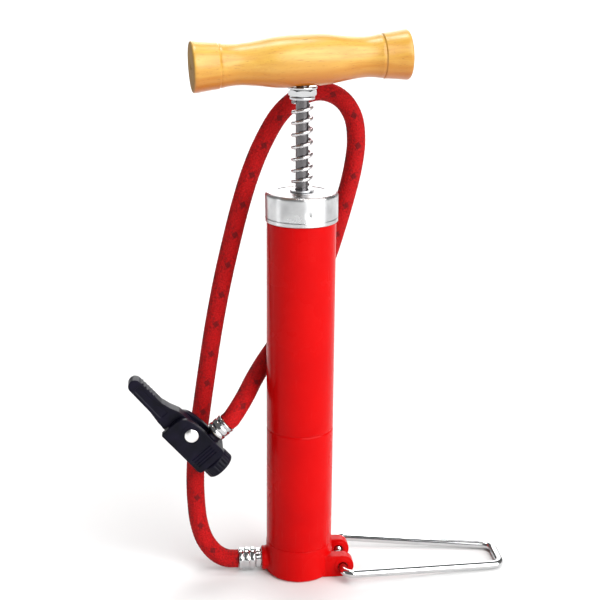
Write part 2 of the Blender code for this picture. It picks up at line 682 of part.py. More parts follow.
def make_handle(wood, chrome, steel):
    """The turned wooden handle, its plug, and the washers and nuts that hold it to the rod."""
    frame = bpy.data.objects.new("handle_frame", None)
    bpy.context.scene.collection.objects.link(frame)
    frame.location = (0.0, 0.0, HANDLE_Z * MM)
    frame.rotation_euler = (0.0, math.radians(-HANDLE_TILT), math.radians(HANDLE_YAW))
    right = [(12.6, 0.0), (12.5, 7.0), (12.0, 14.0), (11.0, 20.5), (10.2, 27.0), (9.9, 32.0)]
    right += [(10.2, 36.4), (10.7, 39.5), (10.3, 40.2), (11.1, 40.9), (11.6, 47.0)]
    right += [(12.3, 51.8), (11.6, 53.6), (0.0, 53.6)]
    outline = [(radius, -along) for radius, along in reversed(right[1:])] + right
    along_wood = {"parent": frame, "at": (HANDLE_SHIFT, 0.0, 0.0), "turn": (0.0, 90.0, 0.0)}
    handle = turned("handle", outline, wood, 24, False, **along_wood)
    past_wood = 16.0
    seat = [
        (0.0, -past_wood),
        (SPOT_FACE_RADIUS, -past_wood),
        (SPOT_FACE_RADIUS, -SPOT_FACE_DEPTH),
        (HANDLE_BORE, -SPOT_FACE_DEPTH),
        (HANDLE_BORE, COUNTERBORE_FLOOR),
        (COUNTERBORE_RADIUS, COUNTERBORE_FLOOR),
        (COUNTERBORE_RADIUS, past_wood),
        (0.0, past_wood),
    ]
    combine(handle, turned("rod_seat", seat, None, 24, False, parent=frame), "DIFFERENCE")
    # The plug closes the nut's recess and follows the wood's round top
    plug_radius = COUNTERBORE_RADIUS - GAP
    plug_outline = [(0.0, PLUG_BOTTOM), (plug_radius, PLUG_BOTTOM)]
    plug_outline += [(plug_radius, past_wood), (0.0, past_wood)]
    plug = turned("handle_plug", plug_outline, wood, 24, False, parent=frame)
    combine(plug, turned("plug_top", outline, None, 24, False, **along_wood), "INTERSECT")

    jam_nut = SPRING_TOP + GAP + THIN_WASHER + GAP
    hex_nut("jam_nut", JAM_NUT_WIDTH, jam_nut, JAM_NUT_HEIGHT, chrome)
    seat_washer = jam_nut + JAM_NUT_HEIGHT + GAP
    seat_top = seat_washer + THIN_WASHER
    washer("handle_washer", ROD_BORE, HANDLE_WASHER_RADIUS, seat_washer, seat_top, chrome, 24)
    recess = HANDLE_Z + COUNTERBORE_FLOOR + 2.0 * GAP
    washer("handle_top_washer", ROD_BORE, WASHER_RADIUS, recess, recess + TOP_WASHER, steel)
    hex_nut("handle_top_nut", SMALL_NUT_WIDTH, recess + TOP_WASHER + GAP, JAM_NUT_HEIGHT, steel)


def main():
    clear_scene()
    paint = material("red_paint", (0.62, 0.008, 0.006), 0.28)
    chrome = material("chrome", (0.78, 0.79, 0.80), 0.12, 1.0)
    steel = material("zinc_steel", (0.56, 0.57, 0.58), 0.32, 1.0)
    rod_steel = material("rod_steel", (0.38, 0.38, 0.39), 0.24, 1.0)
    spring_steel = material("spring_steel", (0.60, 0.60, 0.61), 0.22, 1.0)
    brass = material("brass", (0.72, 0.50, 0.20), 0.30, 1.0)
    wood = material("varnished_wood", (0.78, 0.46, 0.14), 0.35)
    plastic = material("black_plastic", (0.012, 0.012, 0.018), 0.42)
    rubber = material("black_rubber", (0.02, 0.02, 0.02), 0.75)
    leather = material("oiled_leather", (0.20, 0.09, 0.04), 0.6)
    felt = material("grey_felt", (0.35, 0.33, 0.30), 0.95)
    braid = material("red_braid", (0.42, 0.012, 0.012), 0.75)
    make_base(paint)
    make_barrel(paint, chrome, rubber, brass, felt)
    make_valve(brass, steel)
    make_outlet(chrome, braid)
    make_head(plastic, chrome, brass, rubber)
    make_stirrup(chrome)
    make_rod(steel, leather, rod_steel, spring_steel)
    make_handle(wood, chrome, steel)


main()
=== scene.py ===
"""Looks of the ball inflation pump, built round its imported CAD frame.

The frame is the CAD's: the origin is on the barrel's axis at the underside of the base,
+Z runs up to the handle, +X out along the stirrup, and the hose leaves towards -X.
Lengths are in millimetres unless a name says otherwise, and MM turns them into metres.
"""
import json
import math

import bmesh
import bpy
import numpy as np
from mathutils import Matrix, Vector


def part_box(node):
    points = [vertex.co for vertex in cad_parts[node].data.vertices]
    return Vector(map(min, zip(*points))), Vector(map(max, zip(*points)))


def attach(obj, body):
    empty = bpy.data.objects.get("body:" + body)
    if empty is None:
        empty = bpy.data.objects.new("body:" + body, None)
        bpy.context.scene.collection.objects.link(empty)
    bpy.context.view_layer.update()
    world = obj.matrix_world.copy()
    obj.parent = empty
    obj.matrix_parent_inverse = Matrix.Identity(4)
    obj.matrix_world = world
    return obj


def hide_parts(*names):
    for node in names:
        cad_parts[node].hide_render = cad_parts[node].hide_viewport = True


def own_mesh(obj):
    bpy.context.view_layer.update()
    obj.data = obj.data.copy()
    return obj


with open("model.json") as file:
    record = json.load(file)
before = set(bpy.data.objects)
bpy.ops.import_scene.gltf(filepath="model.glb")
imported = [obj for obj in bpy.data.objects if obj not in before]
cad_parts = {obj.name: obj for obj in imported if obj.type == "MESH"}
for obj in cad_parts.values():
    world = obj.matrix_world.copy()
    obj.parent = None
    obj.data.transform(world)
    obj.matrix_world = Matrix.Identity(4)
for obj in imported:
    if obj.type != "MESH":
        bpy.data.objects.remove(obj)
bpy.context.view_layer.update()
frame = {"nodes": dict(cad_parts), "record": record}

MM = 0.001

# The camera, in metres and degrees
CAMERA_PLACE = (-0.0642, -0.6070, 0.3390)
CAMERA_YAW = 6.0
CAMERA_DOWN = 17.0
CAMERA_ROLL = 0.45
CAMERA_LENS = 75.0

# Suns with soft edges: where the light comes from, its strength and how wide it looks, in degrees
SUNS = {
    "key_light": ((0.63, -0.69, 0.50), 5.0, 66.0),
    "top_light": ((0.0, 0.15, 1.0), 1.4, 21.0),
    "back_light": ((0.10, 0.92, 0.42), 1.7, 50.0),
    "side_light": ((-0.99, -0.14, 0.06), 0.25, 16.0),
}
SKY_STRENGTH = 0.16
FLOOR_RADIUS = 30.0

# The hose's route, in metres, as the CAD has it
HOSE_ROUTE = [
    (-0.0329, 0.0, 0.0068),
    (-0.0354, 0.0, 0.0068),
    (-0.0396, 0.0004, 0.0072),
    (-0.0452, 0.0014, 0.0102),
    (-0.0506, 0.0030, 0.0172),
    (-0.0538, 0.0048, 0.0272),
    (-0.0550, 0.0066, 0.0388),
    (-0.0552, 0.0082, 0.0520),
    (-0.0540, 0.0100, 0.0690),
    (-0.0513, 0.0116, 0.0890),
    (-0.0478, 0.0132, 0.1120),
    (-0.0438, 0.0148, 0.1360),
    (-0.0392, 0.0164, 0.1590),
    (-0.0342, 0.0180, 0.1800),
    (-0.0293, 0.0194, 0.1985),
    (-0.0238, 0.0208, 0.2155),
    (-0.0170, 0.0222, 0.2310),
    (-0.0084, 0.0236, 0.2446),
    (0.0020, 0.0248, 0.2528),
    (0.0128, 0.0260, 0.2550),
    (0.0226, 0.0270, 0.2510),
    (0.0290, 0.0276, 0.2420),
    (0.0310, 0.0280, 0.2294),
    (0.0296, 0.0282, 0.2150),
    (0.0262, 0.0284, 0.1998),
    (0.0218, 0.0284, 0.1836),
    (0.0166, 0.0282, 0.1670),
    (0.0096, 0.0276, 0.1506),
    (0.0002, 0.0266, 0.1348),
    (-0.0098, 0.0240, 0.1214),
    (-0.0176, 0.0192, 0.1119),
    (-0.0236, 0.0114, 0.1052),
    (-0.0284, 0.0026, 0.0999),
    (-0.0330, -0.0040, 0.0950),
    (-0.03633, -0.0070, 0.0913),
    (-0.03835, -0.0070, 0.08951),
]
HOSE_RADIUS = 4.8
HOSE_STEP = 0.42
HOSE_SIDES = 80
CARRIERS = 16  # strands of the braid that wind each way
STRAND_STEP = 2.0  # hose length in which the braid moves on by one strand
STRAND_RELIEF = 0.26

# Sizes, places, turns and travels, as in the CAD
BARREL_RADIUS = 17.5
BARREL_BORE = 16.3
BEAD_Z = 83.4
ROD_RADIUS = 3.175
ROD_BORE = 3.5
SPRING_RADIUS = 4.5
SPRING_WIRE = 0.95
SPRING_TURNS = 7.5
VALVE_SPRING_RADIUS = 2.2
VALVE_SPRING_WIRE = 0.35
VALVE_SPRING_TURNS = 5.0
SMALL_WASHER_RADIUS = 6.2
OUTLET_Z = 6.8
HANDLE_Z = 273.2
HANDLE_TILT = 2.5
HANDLE_YAW = 6.0
HANDLE_SHIFT = -0.8
HANDLE_HALF = 53.6
HANDLE_CUT = 40.2
HINGE_X = 22.5
HINGE_Z = 6.2
WIRE_RADIUS = 2.2
EAR_RADIUS = 5.95
EAR_MIDDLE = 9.5
STIRRUP_REACH = 110.0
STIRRUP_HALF_WIDTH = 21.0
STIRRUP_TIP_HALF_WIDTH = 11.5
HEAD_PIN = (-57.0, -7.0, 85.7)
HEAD_TURN = -41.5
HEAD_AXIS = -2.65
HOSE_PORT = -9.5
HEAD_HALF_WIDTH = 7.6
HEAD_BOTTOM = -19.0
HEAD_HOLE = 2.3
CAM_OFFSET = -1.2
CAM_RADIUS = 5.2
LEVER_HALF_WIDTH = 3.9
LEVER_LENGTH = 41.6

# Details that the CAD leaves out: the rod's thread and the punch marks that hold the cap
THREAD_PITCH = 0.75
THREAD_DEPTH = 0.4
STAKE_ANGLES = (-84.0, 36.0, 156.0)

HEAD_PLACE = Matrix.Translation(Vector(HEAD_PIN) * MM) @ Matrix.Rotation(math.radians(HEAD_TURN), 4, "Y")
HANDLE_PLACE = (
    Matrix.Translation((0.0, 0.0, HANDLE_Z * MM))
    @ Matrix.Rotation(math.radians(HANDLE_YAW), 4, "Z")
    @ Matrix.Rotation(math.radians(-HANDLE_TILT), 4, "Y")
)


def shifted(x=0.0, y=0.0, z=0.0):
    """A move in millimetres."""
    return Matrix.Translation((x * MM, y * MM, z * MM))


def turned_to(axis, degrees):
    """A turn about X, Y or Z."""
    return Matrix.Rotation(math.radians(degrees), 4, axis)


# ---------------------------------------------------------------- camera, floor and light


def make_camera():
    yaw = math.radians(CAMERA_YAW)
    down = math.radians(CAMERA_DOWN)
    roll = math.radians(CAMERA_ROLL)
    forward = Vector((math.sin(yaw) * math.cos(down), math.cos(yaw) * math.cos(down), -math.sin(down)))
    right = Vector((math.cos(yaw), -math.sin(yaw), 0.0))
    up = right.cross(forward)
    tilted_right = right * math.cos(roll) + up * math.sin(roll)
    tilted_up = up * math.cos(roll) - right * math.sin(roll)
    data = bpy.data.cameras.new("camera")
    data.lens = CAMERA_LENS
    data.sensor_width = 36.0
    camera = bpy.data.objects.new("camera", data)
    bpy.context.scene.collection.objects.link(camera)
    turn = Matrix((tilted_right, tilted_up, -forward)).transposed()
    camera.matrix_world = Matrix.Translation(CAMERA_PLACE) @ turn.to_4x4()
    bpy.context.scene.camera = camera


def make_studio():
    """A pale floor, a dim white sky and soft suns, the strongest of them from the front right."""
    shape = bmesh.new()
    bmesh.ops.create_circle(shape, cap_ends=True, segments=64, radius=FLOOR_RADIUS)
    mesh = bpy.data.meshes.new("floor")
    shape.to_mesh(mesh)
    shape.free()
    floor = bpy.data.objects.new("floor", mesh)
    bpy.context.scene.collection.objects.link(floor)
    mesh.materials.append(Finish("floor_paper", (0.76, 0.76, 0.758), 0.85).material)

    world = bpy.data.worlds.new("studio")
    bpy.context.scene.world = world
    world.use_nodes = True
    sky = world.node_tree.nodes["Background"].inputs
    sky["Color"].default_value = (1.0, 1.0, 1.0, 1.0)
    sky["Strength"].default_value = SKY_STRENGTH

    for name, (source, strength, width) in SUNS.items():
        data = bpy.data.lights.new(name, "SUN")
        data.energy = strength
        data.angle = math.radians(width)
        lamp = bpy.data.objects.new(name, data)
        bpy.context.scene.collection.objects.link(lamp)
        lamp.matrix_world = Vector(source).to_track_quat("Z", "Y").to_matrix().to_4x4()
    bpy.context.scene.view_settings.view_transform = "Standard"


# ---------------------------------------------------------------- materials


class Finish:
    """A Principled material whose node tree is built up by short calls."""

    def __init__(self, name, colour, roughness, **sockets):
        self.material = bpy.data.materials.new(name)
        self.material.use_nodes = True
        self.tree = self.material.node_tree
        self.shader = self.tree.nodes["Principled BSDF"]
        self.shader.inputs["Base Color"].default_value = (*colour, 1.0)
        self.shader.inputs["Roughness"].default_value = roughness
        for socket, value in sockets.items():
            self.shader.inputs[socket.replace("_", " ")].default_value = value
        self.last_bump = None

    def node(self, kind, inputs=(), **settings):
        """Add a node; inputs holds pairs of a socket and a value or an output to link."""
        made = self.tree.nodes.new(f"ShaderNode{kind}")
        for setting, value in settings.items():
            setattr(made, setting, value)
        for socket, value in dict(inputs).items():
            if isinstance(value, bpy.types.NodeSocket):
                self.tree.links.new(value, made.inputs[socket])
            else:
                made.inputs[socket].default_value = value
        return made

    def place(self, scale=(1.0, 1.0, 1.0), turn=(0.0, 0.0, 0.0)):
        """The object's own coordinates, in millimetres times scale."""
        source = self.node("TexCoord").outputs["Object"]
        sizes = tuple(value / MM for value in scale)
        return self.node("Mapping", {"Vector": source, "Rotation": turn, "Scale": sizes}).outputs[0]

    def noise(self, scale, detail=3.0, place=None, roughness=0.5, distortion=0.0):
        """Noise from 0 to 1; scale is in cycles per millimetre of place."""
        where = self.place() if place is None else place
        values = {"Vector": where, "Scale": scale, "Detail": detail, "Roughness": roughness}
        values["Distortion"] = distortion
        return self.node("TexNoise", values).outputs[0]

    def spread(self, value, low, high, to_low, to_high):
        """Map a range of a value onto another, clamped."""
        values = {"Value": value, "From Min": low, "From Max": high, "To Min": to_low, "To Max": to_high}
        return self.node("MapRange", values).outputs[0]

    def maths(self, operation, first, second=0.0):
        """One operation on two numbers or outputs."""
        return self.node("Math", {0: first, 1: second}, operation=operation).outputs[0]

    def blend(self, factor, first, second):
        """Mix two colours, each a triple or an output."""
        mix = self.node("Mix", {"Factor": factor}, data_type="RGBA")
        for index, colour in ((6, first), (7, second)):
            if isinstance(colour, bpy.types.NodeSocket):
                self.tree.links.new(colour, mix.inputs[index])
            else:
                mix.inputs[index].default_value = (*colour, 1.0)
        return mix.outputs[2]

    def link(self, output, socket):
        self.tree.links.new(output, self.shader.inputs[socket])

    def colour(self, output):
        self.link(output, "Base Color")

    def rough(self, output):
        self.link(output, "Roughness")

    def bump(self, height, depth, strength=1.0):
        """Raise the surface by depth millimetres where height is 1."""
        values = {"Height": height, "Distance": depth * MM, "Strength": strength}
        if self.last_bump is not None:
            values["Normal"] = self.last_bump
        self.last_bump = self.node("Bump", values).outputs[0]
        self.tree.links.new(self.last_bump, self.shader.inputs["Normal"])


def red_enamel():
    """Gloss stove enamel: orange peel, faint clouding, hairline scuffs and worn spots near the foot."""
    made = Finish("red_enamel", (0.50, 0.004, 0.004), 0.26, Specular_IOR_Level=0.06)
    cloud = made.noise(0.035, 4.0)
    base = made.blend(made.spread(cloud, 0.3, 0.7, 0.0, 1.0), (0.44, 0.0012, 0.0018), (0.50, 0.0022, 0.0022))
    scuff = made.noise(1.0, 5.0, made.place((0.9, 0.9, 0.045)), 0.65)
    lines = made.spread(scuff, 0.60, 0.72, 0.0, 1.0)
    height = made.node("SeparateXYZ", {0: made.place()}).outputs["Z"]
    low_down = made.spread(height, 3.0, 40.0, 1.0, 0.25)
    wear = made.maths("MULTIPLY", lines, low_down)
    base = made.blend(made.maths("MULTIPLY", wear, 0.35), base, (0.34, 0.008, 0.007))
    made.colour(base)
    haze = made.spread(cloud, 0.3, 0.7, 0.20, 0.30)
    made.rough(made.maths("ADD", haze, made.maths("MULTIPLY", wear, 0.22)))
    made.bump(made.noise(0.85, 2.0), 0.018)
    made.bump(lines, -0.004)
    return made.material


def chrome_plate():
    """Bright chrome with faint haze and fine polishing lines."""
    made = Finish("chrome_plate", (0.56, 0.565, 0.57), 0.10, Metallic=1.0)
    haze = made.noise(0.12, 5.0)
    made.rough(made.spread(haze, 0.35, 0.7, 0.07, 0.17))
    cloudy = made.spread(haze, 0.45, 0.75, 0.0, 1.0)
    made.colour(made.blend(cloudy, (0.60, 0.605, 0.61), (0.50, 0.505, 0.515)))
    made.bump(made.noise(1.0, 3.0, made.place((0.35, 0.35, 7.0))), 0.0025)
    made.bump(made.noise(0.25, 2.0), 0.010)
    return made.material


def spun_chrome():
    """Chrome over a polished spinning: the lines run round the object's Z and smear reflections along it."""
    made = Finish("spun_chrome", (0.56, 0.565, 0.57), 0.30, Metallic=1.0, Anisotropic=0.9,
                  Anisotropic_Rotation=0.25)
    tangent = made.node("Tangent", direction_type="RADIAL", axis="Z").outputs[0]
    made.link(tangent, "Tangent")
    haze = made.noise(0.12, 5.0)
    made.rough(made.spread(haze, 0.35, 0.7, 0.26, 0.36))
    cloudy = made.spread(haze, 0.45, 0.75, 0.0, 1.0)
    made.colour(made.blend(cloudy, (0.68, 0.685, 0.69), (0.56, 0.565, 0.575)))
    made.bump(made.noise(0.25, 2.0), 0.010)
    return made.material


def bright_rivet():
    """A polished nickel rivet head, brighter than the chrome."""
    made = Finish("bright_rivet", (0.90, 0.895, 0.88), 0.30, Metallic=1.0)
    scratch = made.noise(3.0, 4.0)
    made.rough(made.spread(scratch, 0.3, 0.7, 0.22, 0.40))
    made.bump(scratch, 0.006)
    return made.material


def zinc_plate():
    """Satin zinc on stamped and turned steel."""
    made = Finish("zinc_plate", (0.58, 0.59, 0.61), 0.34, Metallic=1.0)
    mottle = made.noise(0.9, 6.0)
    made.colour(made.blend(mottle, (0.50, 0.51, 0.53), (0.68, 0.69, 0.70)))
    made.rough(made.spread(mottle, 0.3, 0.7, 0.26, 0.44))
    made.bump(made.noise(3.0, 3.0), 0.010)
    return made.material


def spring_wire():
    """Drawn wire, with a darker drawn skin in streaks."""
    made = Finish("spring_wire", (0.62, 0.61, 0.62), 0.22, Metallic=1.0)
    streak = made.noise(2.2, 5.0)
    made.colour(made.blend(made.spread(streak, 0.4, 0.7, 0.0, 1.0), (0.70, 0.69, 0.70), (0.44, 0.42, 0.43)))
    made.rough(made.spread(streak, 0.3, 0.7, 0.16, 0.34))
    made.bump(made.noise(5.0, 2.0), 0.006)
    return made.material


def ground_steel():
    """The rod's ground steel, its colours far darker than bare steel: painted shade for the gaps between the
    spring's coils.
    """
    made = Finish("ground_steel", (0.14, 0.135, 0.14), 0.26, Metallic=1.0)
    rod_mottle = made.noise(0.5, 4.0, made.place((1.0, 1.0, 0.25)))
    # Painted shade: both tones are much darker than steel and stand in for the shade and dark reflections
    # between the coils.
    made.colour(made.blend(rod_mottle, (0.08, 0.075, 0.08), (0.20, 0.19, 0.195)))
    made.rough(made.spread(rod_mottle, 0.3, 0.7, 0.16, 0.32))
    made.bump(made.noise(1.0, 3.0, made.place((1.0, 1.0, 9.0))), 0.003)
    return made.material


def turned_brass():
    """Lathe-turned brass."""
    made = Finish("turned_brass", (0.74, 0.50, 0.20), 0.28, Metallic=1.0)
    patina = made.noise(0.7, 5.0)
    made.colour(made.blend(patina, (0.78, 0.55, 0.24), (0.60, 0.38, 0.14)))
    made.rough(made.spread(patina, 0.3, 0.7, 0.20, 0.40))
    made.bump(made.noise(4.0, 2.0), 0.008)
    return made.material


# The dark of the wood's pores, also used for the painted shade in the groove.
DARK_GRAIN_AND_GROOVE_SHADE = (0.26, 0.09, 0.012)


def varnished_wood():
    """Pale turned wood: growth rings, streaks along the grain and pores. Painted shade darkens the underside
    to a deep orange-brown and lays a dark line in the right-hand groove; the end faces are darker end grain,
    also painting their shade.
    """
    made = Finish("varnished_wood", (0.55, 0.27, 0.04), 0.36, Specular_IOR_Level=0.2, Coat_Roughness=0.28)
    where = made.node("SeparateXYZ", {0: made.place()})
    downwards, along = where.outputs["X"], where.outputs["Z"]
    centre = made.node(
        "Mapping",
        {"Vector": made.place((1.0, 1.0, 0.05)), "Location": (6.5, 21.0, 0.0)},
    ).outputs[0]
    waver = {"Vector": centre, "Scale": 0.075, "Distortion": 4.5, "Detail": 3.0, "Detail Scale": 0.35}
    rings = made.node("TexWave", waver, wave_type="RINGS", rings_direction="Z").outputs["Fac"]
    late_wood = made.spread(rings, 0.15, 0.95, 0.0, 1.0)
    ring_tone = made.blend(late_wood, (0.58, 0.345, 0.060), (0.53, 0.280, 0.036))
    streak = made.noise(0.55, 6.0, made.place((1.0, 1.0, 0.035)), 0.6)
    streaked = made.blend(made.spread(streak, 0.42, 0.70, 0.0, 0.7), ring_tone, (0.44, 0.185, 0.018))
    blotch = made.noise(0.045, 3.0, made.place((1.0, 1.0, 0.6)))
    toned = made.blend(made.spread(blotch, 0.35, 0.70, 0.0, 0.55), streaked, (0.66, 0.45, 0.11))
    # Painted shade: the lower side of the handle, found from its own X, is blended towards a deep
    # orange-brown, with blotchy edges.
    uneven = made.maths("ADD", downwards, made.maths("MULTIPLY", blotch, 4.0))
    underside_shade = made.spread(uneven, 0.0, 12.0, 0.0, 0.92)
    toned = made.blend(underside_shade, toned, (0.42, 0.105, 0.006))
    pore = made.noise(3.2, 2.0, made.place((1.0, 1.0, 0.07)))
    pores = made.spread(pore, 0.63, 0.70, 0.0, 1.0)
    toned = made.blend(made.maths("MULTIPLY", pores, 0.55), toned, DARK_GRAIN_AND_GROOVE_SHADE)
    # Painted shade in the grooves: a dark line along the right-hand groove and none at the left.
    for cut_place, stain_and_groove_shade in ((HANDLE_CUT, 0.25), (-HANDLE_CUT, 0.0)):
        from_cut = made.maths("ABSOLUTE", made.maths("SUBTRACT", along, cut_place))
        toned = made.blend(made.spread(from_cut, 0.0, 0.9, stain_and_groove_shade, 0.0), toned, DARK_GRAIN_AND_GROOVE_SHADE)
    from_middle = made.maths("ABSOLUTE", along)
    end_grain = made.spread(from_middle, HANDLE_HALF - 0.9, HANDLE_HALF - 0.1, 0.0, 1.0)
    # The end faces are blended dark brown: end grain is darker, and the blend also paints the shade on the
    # ends.
    made.colour(made.blend(made.maths("MULTIPLY", end_grain, 0.9), toned, (0.28, 0.165, 0.055)))
    made.link(made.spread(end_grain, 0.0, 1.0, 0.50, 0.0), "Coat Weight")
    varnish = made.spread(streak, 0.3, 0.7, 0.28, 0.40)
    made.rough(made.maths("ADD", varnish, made.maths("MULTIPLY", end_grain, 0.4)))
    made.bump(pores, -0.03)
    made.bump(streak, 0.02)
    made.bump(made.noise(0.35, 2.0), 0.05)
    return made.material


def moulded_plastic():
    """Blue-black moulded plastic with a fine spark-eroded grain."""
    made = Finish("moulded_plastic", (0.010, 0.010, 0.020), 0.42, Specular_IOR_Level=0.11)
    grain = made.noise(2.6, 3.0)
    cloud = made.noise(0.12, 3.0)
    tint = made.spread(cloud, 0.35, 0.65, 0.0, 1.0)
    made.colour(made.blend(tint, (0.002, 0.002, 0.005), (0.005, 0.004, 0.012)))
    made.rough(made.spread(cloud, 0.3, 0.7, 0.32, 0.46))
    made.bump(grain, 0.022)
    return made.material


def soft_rubber():
    """Matte black rubber with a dusty bloom."""
    made = Finish("soft_rubber", (0.02, 0.02, 0.02), 0.78)
    bloom = made.noise(0.6, 4.0)
    made.colour(made.blend(bloom, (0.012, 0.012, 0.012), (0.045, 0.044, 0.042)))
    made.bump(made.noise(5.0, 3.0), 0.02)
    return made.material


def oiled_leather():
    """The piston's oiled leather."""
    made = Finish("oiled_leather", (0.22, 0.10, 0.04), 0.55)
    cells = made.node("TexVoronoi", {"Vector": made.place(), "Scale": 1.4}).outputs["Distance"]
    stain_and_groove_shade = made.noise(0.2, 4.0)
    made.colour(made.blend(stain_and_groove_shade, (0.15, 0.06, 0.025), (0.30, 0.15, 0.065)))
    made.bump(cells, 0.05)
    return made.material


def pressed_felt():
    """The rod wiper's felt."""
    made = Finish("pressed_felt", (0.36, 0.34, 0.31), 0.95, Sheen_Weight=0.4)
    fibre = made.noise(2.2, 8.0, distortion=2.0)
    made.colour(made.blend(fibre, (0.24, 0.22, 0.20), (0.46, 0.44, 0.40)))
    made.bump(fibre, 0.12)
    return made.material


# Added before a modulo to keep it positive: one is even, the other a multiple of the strands
EVEN_LIFT = 1000.0
STRAND_LIFT = 800.0


def woven_cover():
    """Red yarn braid with dark tracer strands; the weave's coordinates follow the hose."""
    made = Finish("woven_cover", (0.50, 0.012, 0.014), 0.66, Specular_IOR_Level=0.12)
    weave = made.node("UVMap", uv_map="weave").outputs[0]
    strands = made.node("SeparateXYZ", {0: weave})
    first, second = strands.outputs["X"], strands.outputs["Y"]
    cell = made.maths("ADD", made.maths("FLOOR", first), made.maths("FLOOR", second))
    over = made.maths("GREATER_THAN", made.maths("MODULO", made.maths("ADD", cell, EVEN_LIFT), 2.0), 0.5)
    dark = []
    for strand in (first, second):
        lifted = made.maths("ADD", made.maths("FLOOR", strand), STRAND_LIFT)
        turn = made.maths("MODULO", lifted, CARRIERS / 2.0)
        dark.append(made.maths("LESS_THAN", turn, 1.5))
    on_top = made.node("Mix", {0: over, 2: dark[1], 3: dark[0]}, data_type="FLOAT").outputs[0]
    both = made.maths("MULTIPLY", dark[0], dark[1])
    tracer = made.maths("ADD", made.maths("MULTIPLY", on_top, 0.28), made.maths("MULTIPLY", both, 0.34))
    across = made.node("Mix", {0: over, 2: second, 3: first}, data_type="FLOAT").outputs[0]
    yarn = made.maths("SINE", made.maths("MULTIPLY", across, math.tau * 3.0))
    fuzz = made.noise(1.6, 5.0)
    red = made.blend(made.spread(fuzz, 0.3, 0.7, 0.0, 1.0), (0.24, 0.002, 0.003), (0.50, 0.005, 0.006))
    made.colour(made.blend(tracer, red, (0.020, 0.004, 0.006)))
    made.bump(yarn, 0.05)
    made.bump(fuzz, 0.08)
    return made.material


FINISHES = {
    "red_paint": red_enamel,
    "chrome": chrome_plate,
    "spun_chrome": spun_chrome,
    "bright_rivet": bright_rivet,
    "zinc_steel": zinc_plate,
    "spring_steel": spring_wire,
    "rod_steel": ground_steel,
    "brass": turned_brass,
    "wood": varnished_wood,
    "black_plastic": moulded_plastic,
    "rubber": soft_rubber,
    "leather": oiled_leather,
    "felt": pressed_felt,
    "braid": woven_cover,
}


# ---------------------------------------------------------------- shapes


def new_mesh(name, points, faces):
    """A mesh from points in millimetres, with its faces turned outwards."""
    mesh = bpy.data.meshes.new(name)
    mesh.from_pydata((np.asarray(points, float) * MM).tolist(), [], [list(face) for face in faces])
    shape = bmesh.new()
    shape.from_mesh(mesh)
    bmesh.ops.recalc_face_normals(shape, faces=shape.faces)
    shape.to_mesh(mesh)
    shape.free()
    return mesh


def arc(centre, radius, start, end, steps):
    """Points on an arc of an outline, from start to end degrees."""
    angles = np.radians(np.linspace(start, end, steps + 1))
    return [(centre[0] + radius * math.cos(a), centre[1] + radius * math.sin(a)) for a in angles]


def rounded(outline, radius, ring=True, steps=4):
    """Round an outline's corners; one that isn't a ring keeps its two ends."""
    out = []
    for index, corner in enumerate(outline):
        here = Vector(corner)
        before = Vector(outline[index - 1]) - here
        after = Vector(outline[(index + 1) % len(outline)]) - here
        at_end = not ring and index in (0, len(outline) - 1)
        if at_end or before.angle(after) > math.radians(160.0):
            out.append(tuple(here))
            continue
        reach = min(radius, 0.45 * before.length, 0.45 * after.length)
        start = here + before.normalized() * reach
        end = here + after.normalized() * reach
        for step in range(steps + 1):
            share = step / steps
            bend = here * 2 * share * (1 - share)
            out.append(tuple(start * (1 - share) ** 2 + bend + end * share ** 2))
    return out


def divided(outline, step, ring=True):
    """Add points along an outline's straight stretches, no more than step apart."""
    out = []
    ends = outline[1:] + ([outline[0]] if ring else [])
    for first, second in zip(outline, ends):
        parts = max(1, math.ceil(math.dist(first, second) / step))
        for part in range(parts):
            share = part / parts
            out.append(tuple(a + (b - a) * share for a, b in zip(first, second)))
    if not ring:
        out.append(outline[-1])
    return out


def turned_mesh(name, outline, facets=96, ring=True, relief=None, from_radius=0.1, place=Matrix()):
    """Turn an outline of (radius, height) round local Z.

    relief(angle, height) adds to every radius over from_radius.
    """
    points = []
    rows = []
    for radius, height in outline:
        row = []
        for step in range(facets if radius > 1e-6 else 1):
            angle = math.tau * step / facets
            reach = radius + (relief(angle, height) if relief and radius > from_radius else 0.0)
            row.append(len(points))
            points.append((reach * math.cos(angle), reach * math.sin(angle), height))
        rows.append(row)
    faces = []
    for low, high in zip(rows, rows[1:] + ([rows[0]] if ring else [])):
        for step in range(facets):
            after = (step + 1) % facets
            corners = (
                low[step % len(low)],
                low[after % len(low)],
                high[after % len(high)],
                high[step % len(high)],
            )
            face = list(dict.fromkeys(corners))
            if len(face) > 2:
                faces.append(face)
    mesh = new_mesh(name, points, faces)
    mesh.transform(place)
    return mesh


def plate_mesh(name, outline, half_thickness, place=Matrix()):
    """A slab whose outline is (x, z), to both sides of the plane y = 0."""
    count = len(outline)
    points = [(x, side, z) for side in (-half_thickness, half_thickness) for x, z in outline]
    faces = [range(count), range(2 * count - 1, count - 1, -1)]
    for index in range(count):
        after = (index + 1) % count
        faces.append((index, after, after + count, index + count))
    mesh = new_mesh(name, points, faces)
    mesh.transform(place)
    return mesh


def along_path(path):
    """Directions, side vectors and lengths along a path, without twist."""
    points = np.asarray(path, float)
    ahead = np.gradient(points, axis=0)
    ahead /= np.linalg.norm(ahead, axis=1)[:, None]
    side = np.cross(ahead[0], (0.0, 0.0, 1.0) if abs(ahead[0][2]) < 0.9 else (1.0, 0.0, 0.0))
    sides = []
    for direction in ahead:
        side = side - direction * side.dot(direction)
        side /= np.linalg.norm(side)
        sides.append(side)
    lengths = np.concatenate(([0.0], np.cumsum(np.linalg.norm(np.diff(points, axis=0), axis=1))))
    return points, ahead, np.array(sides), lengths


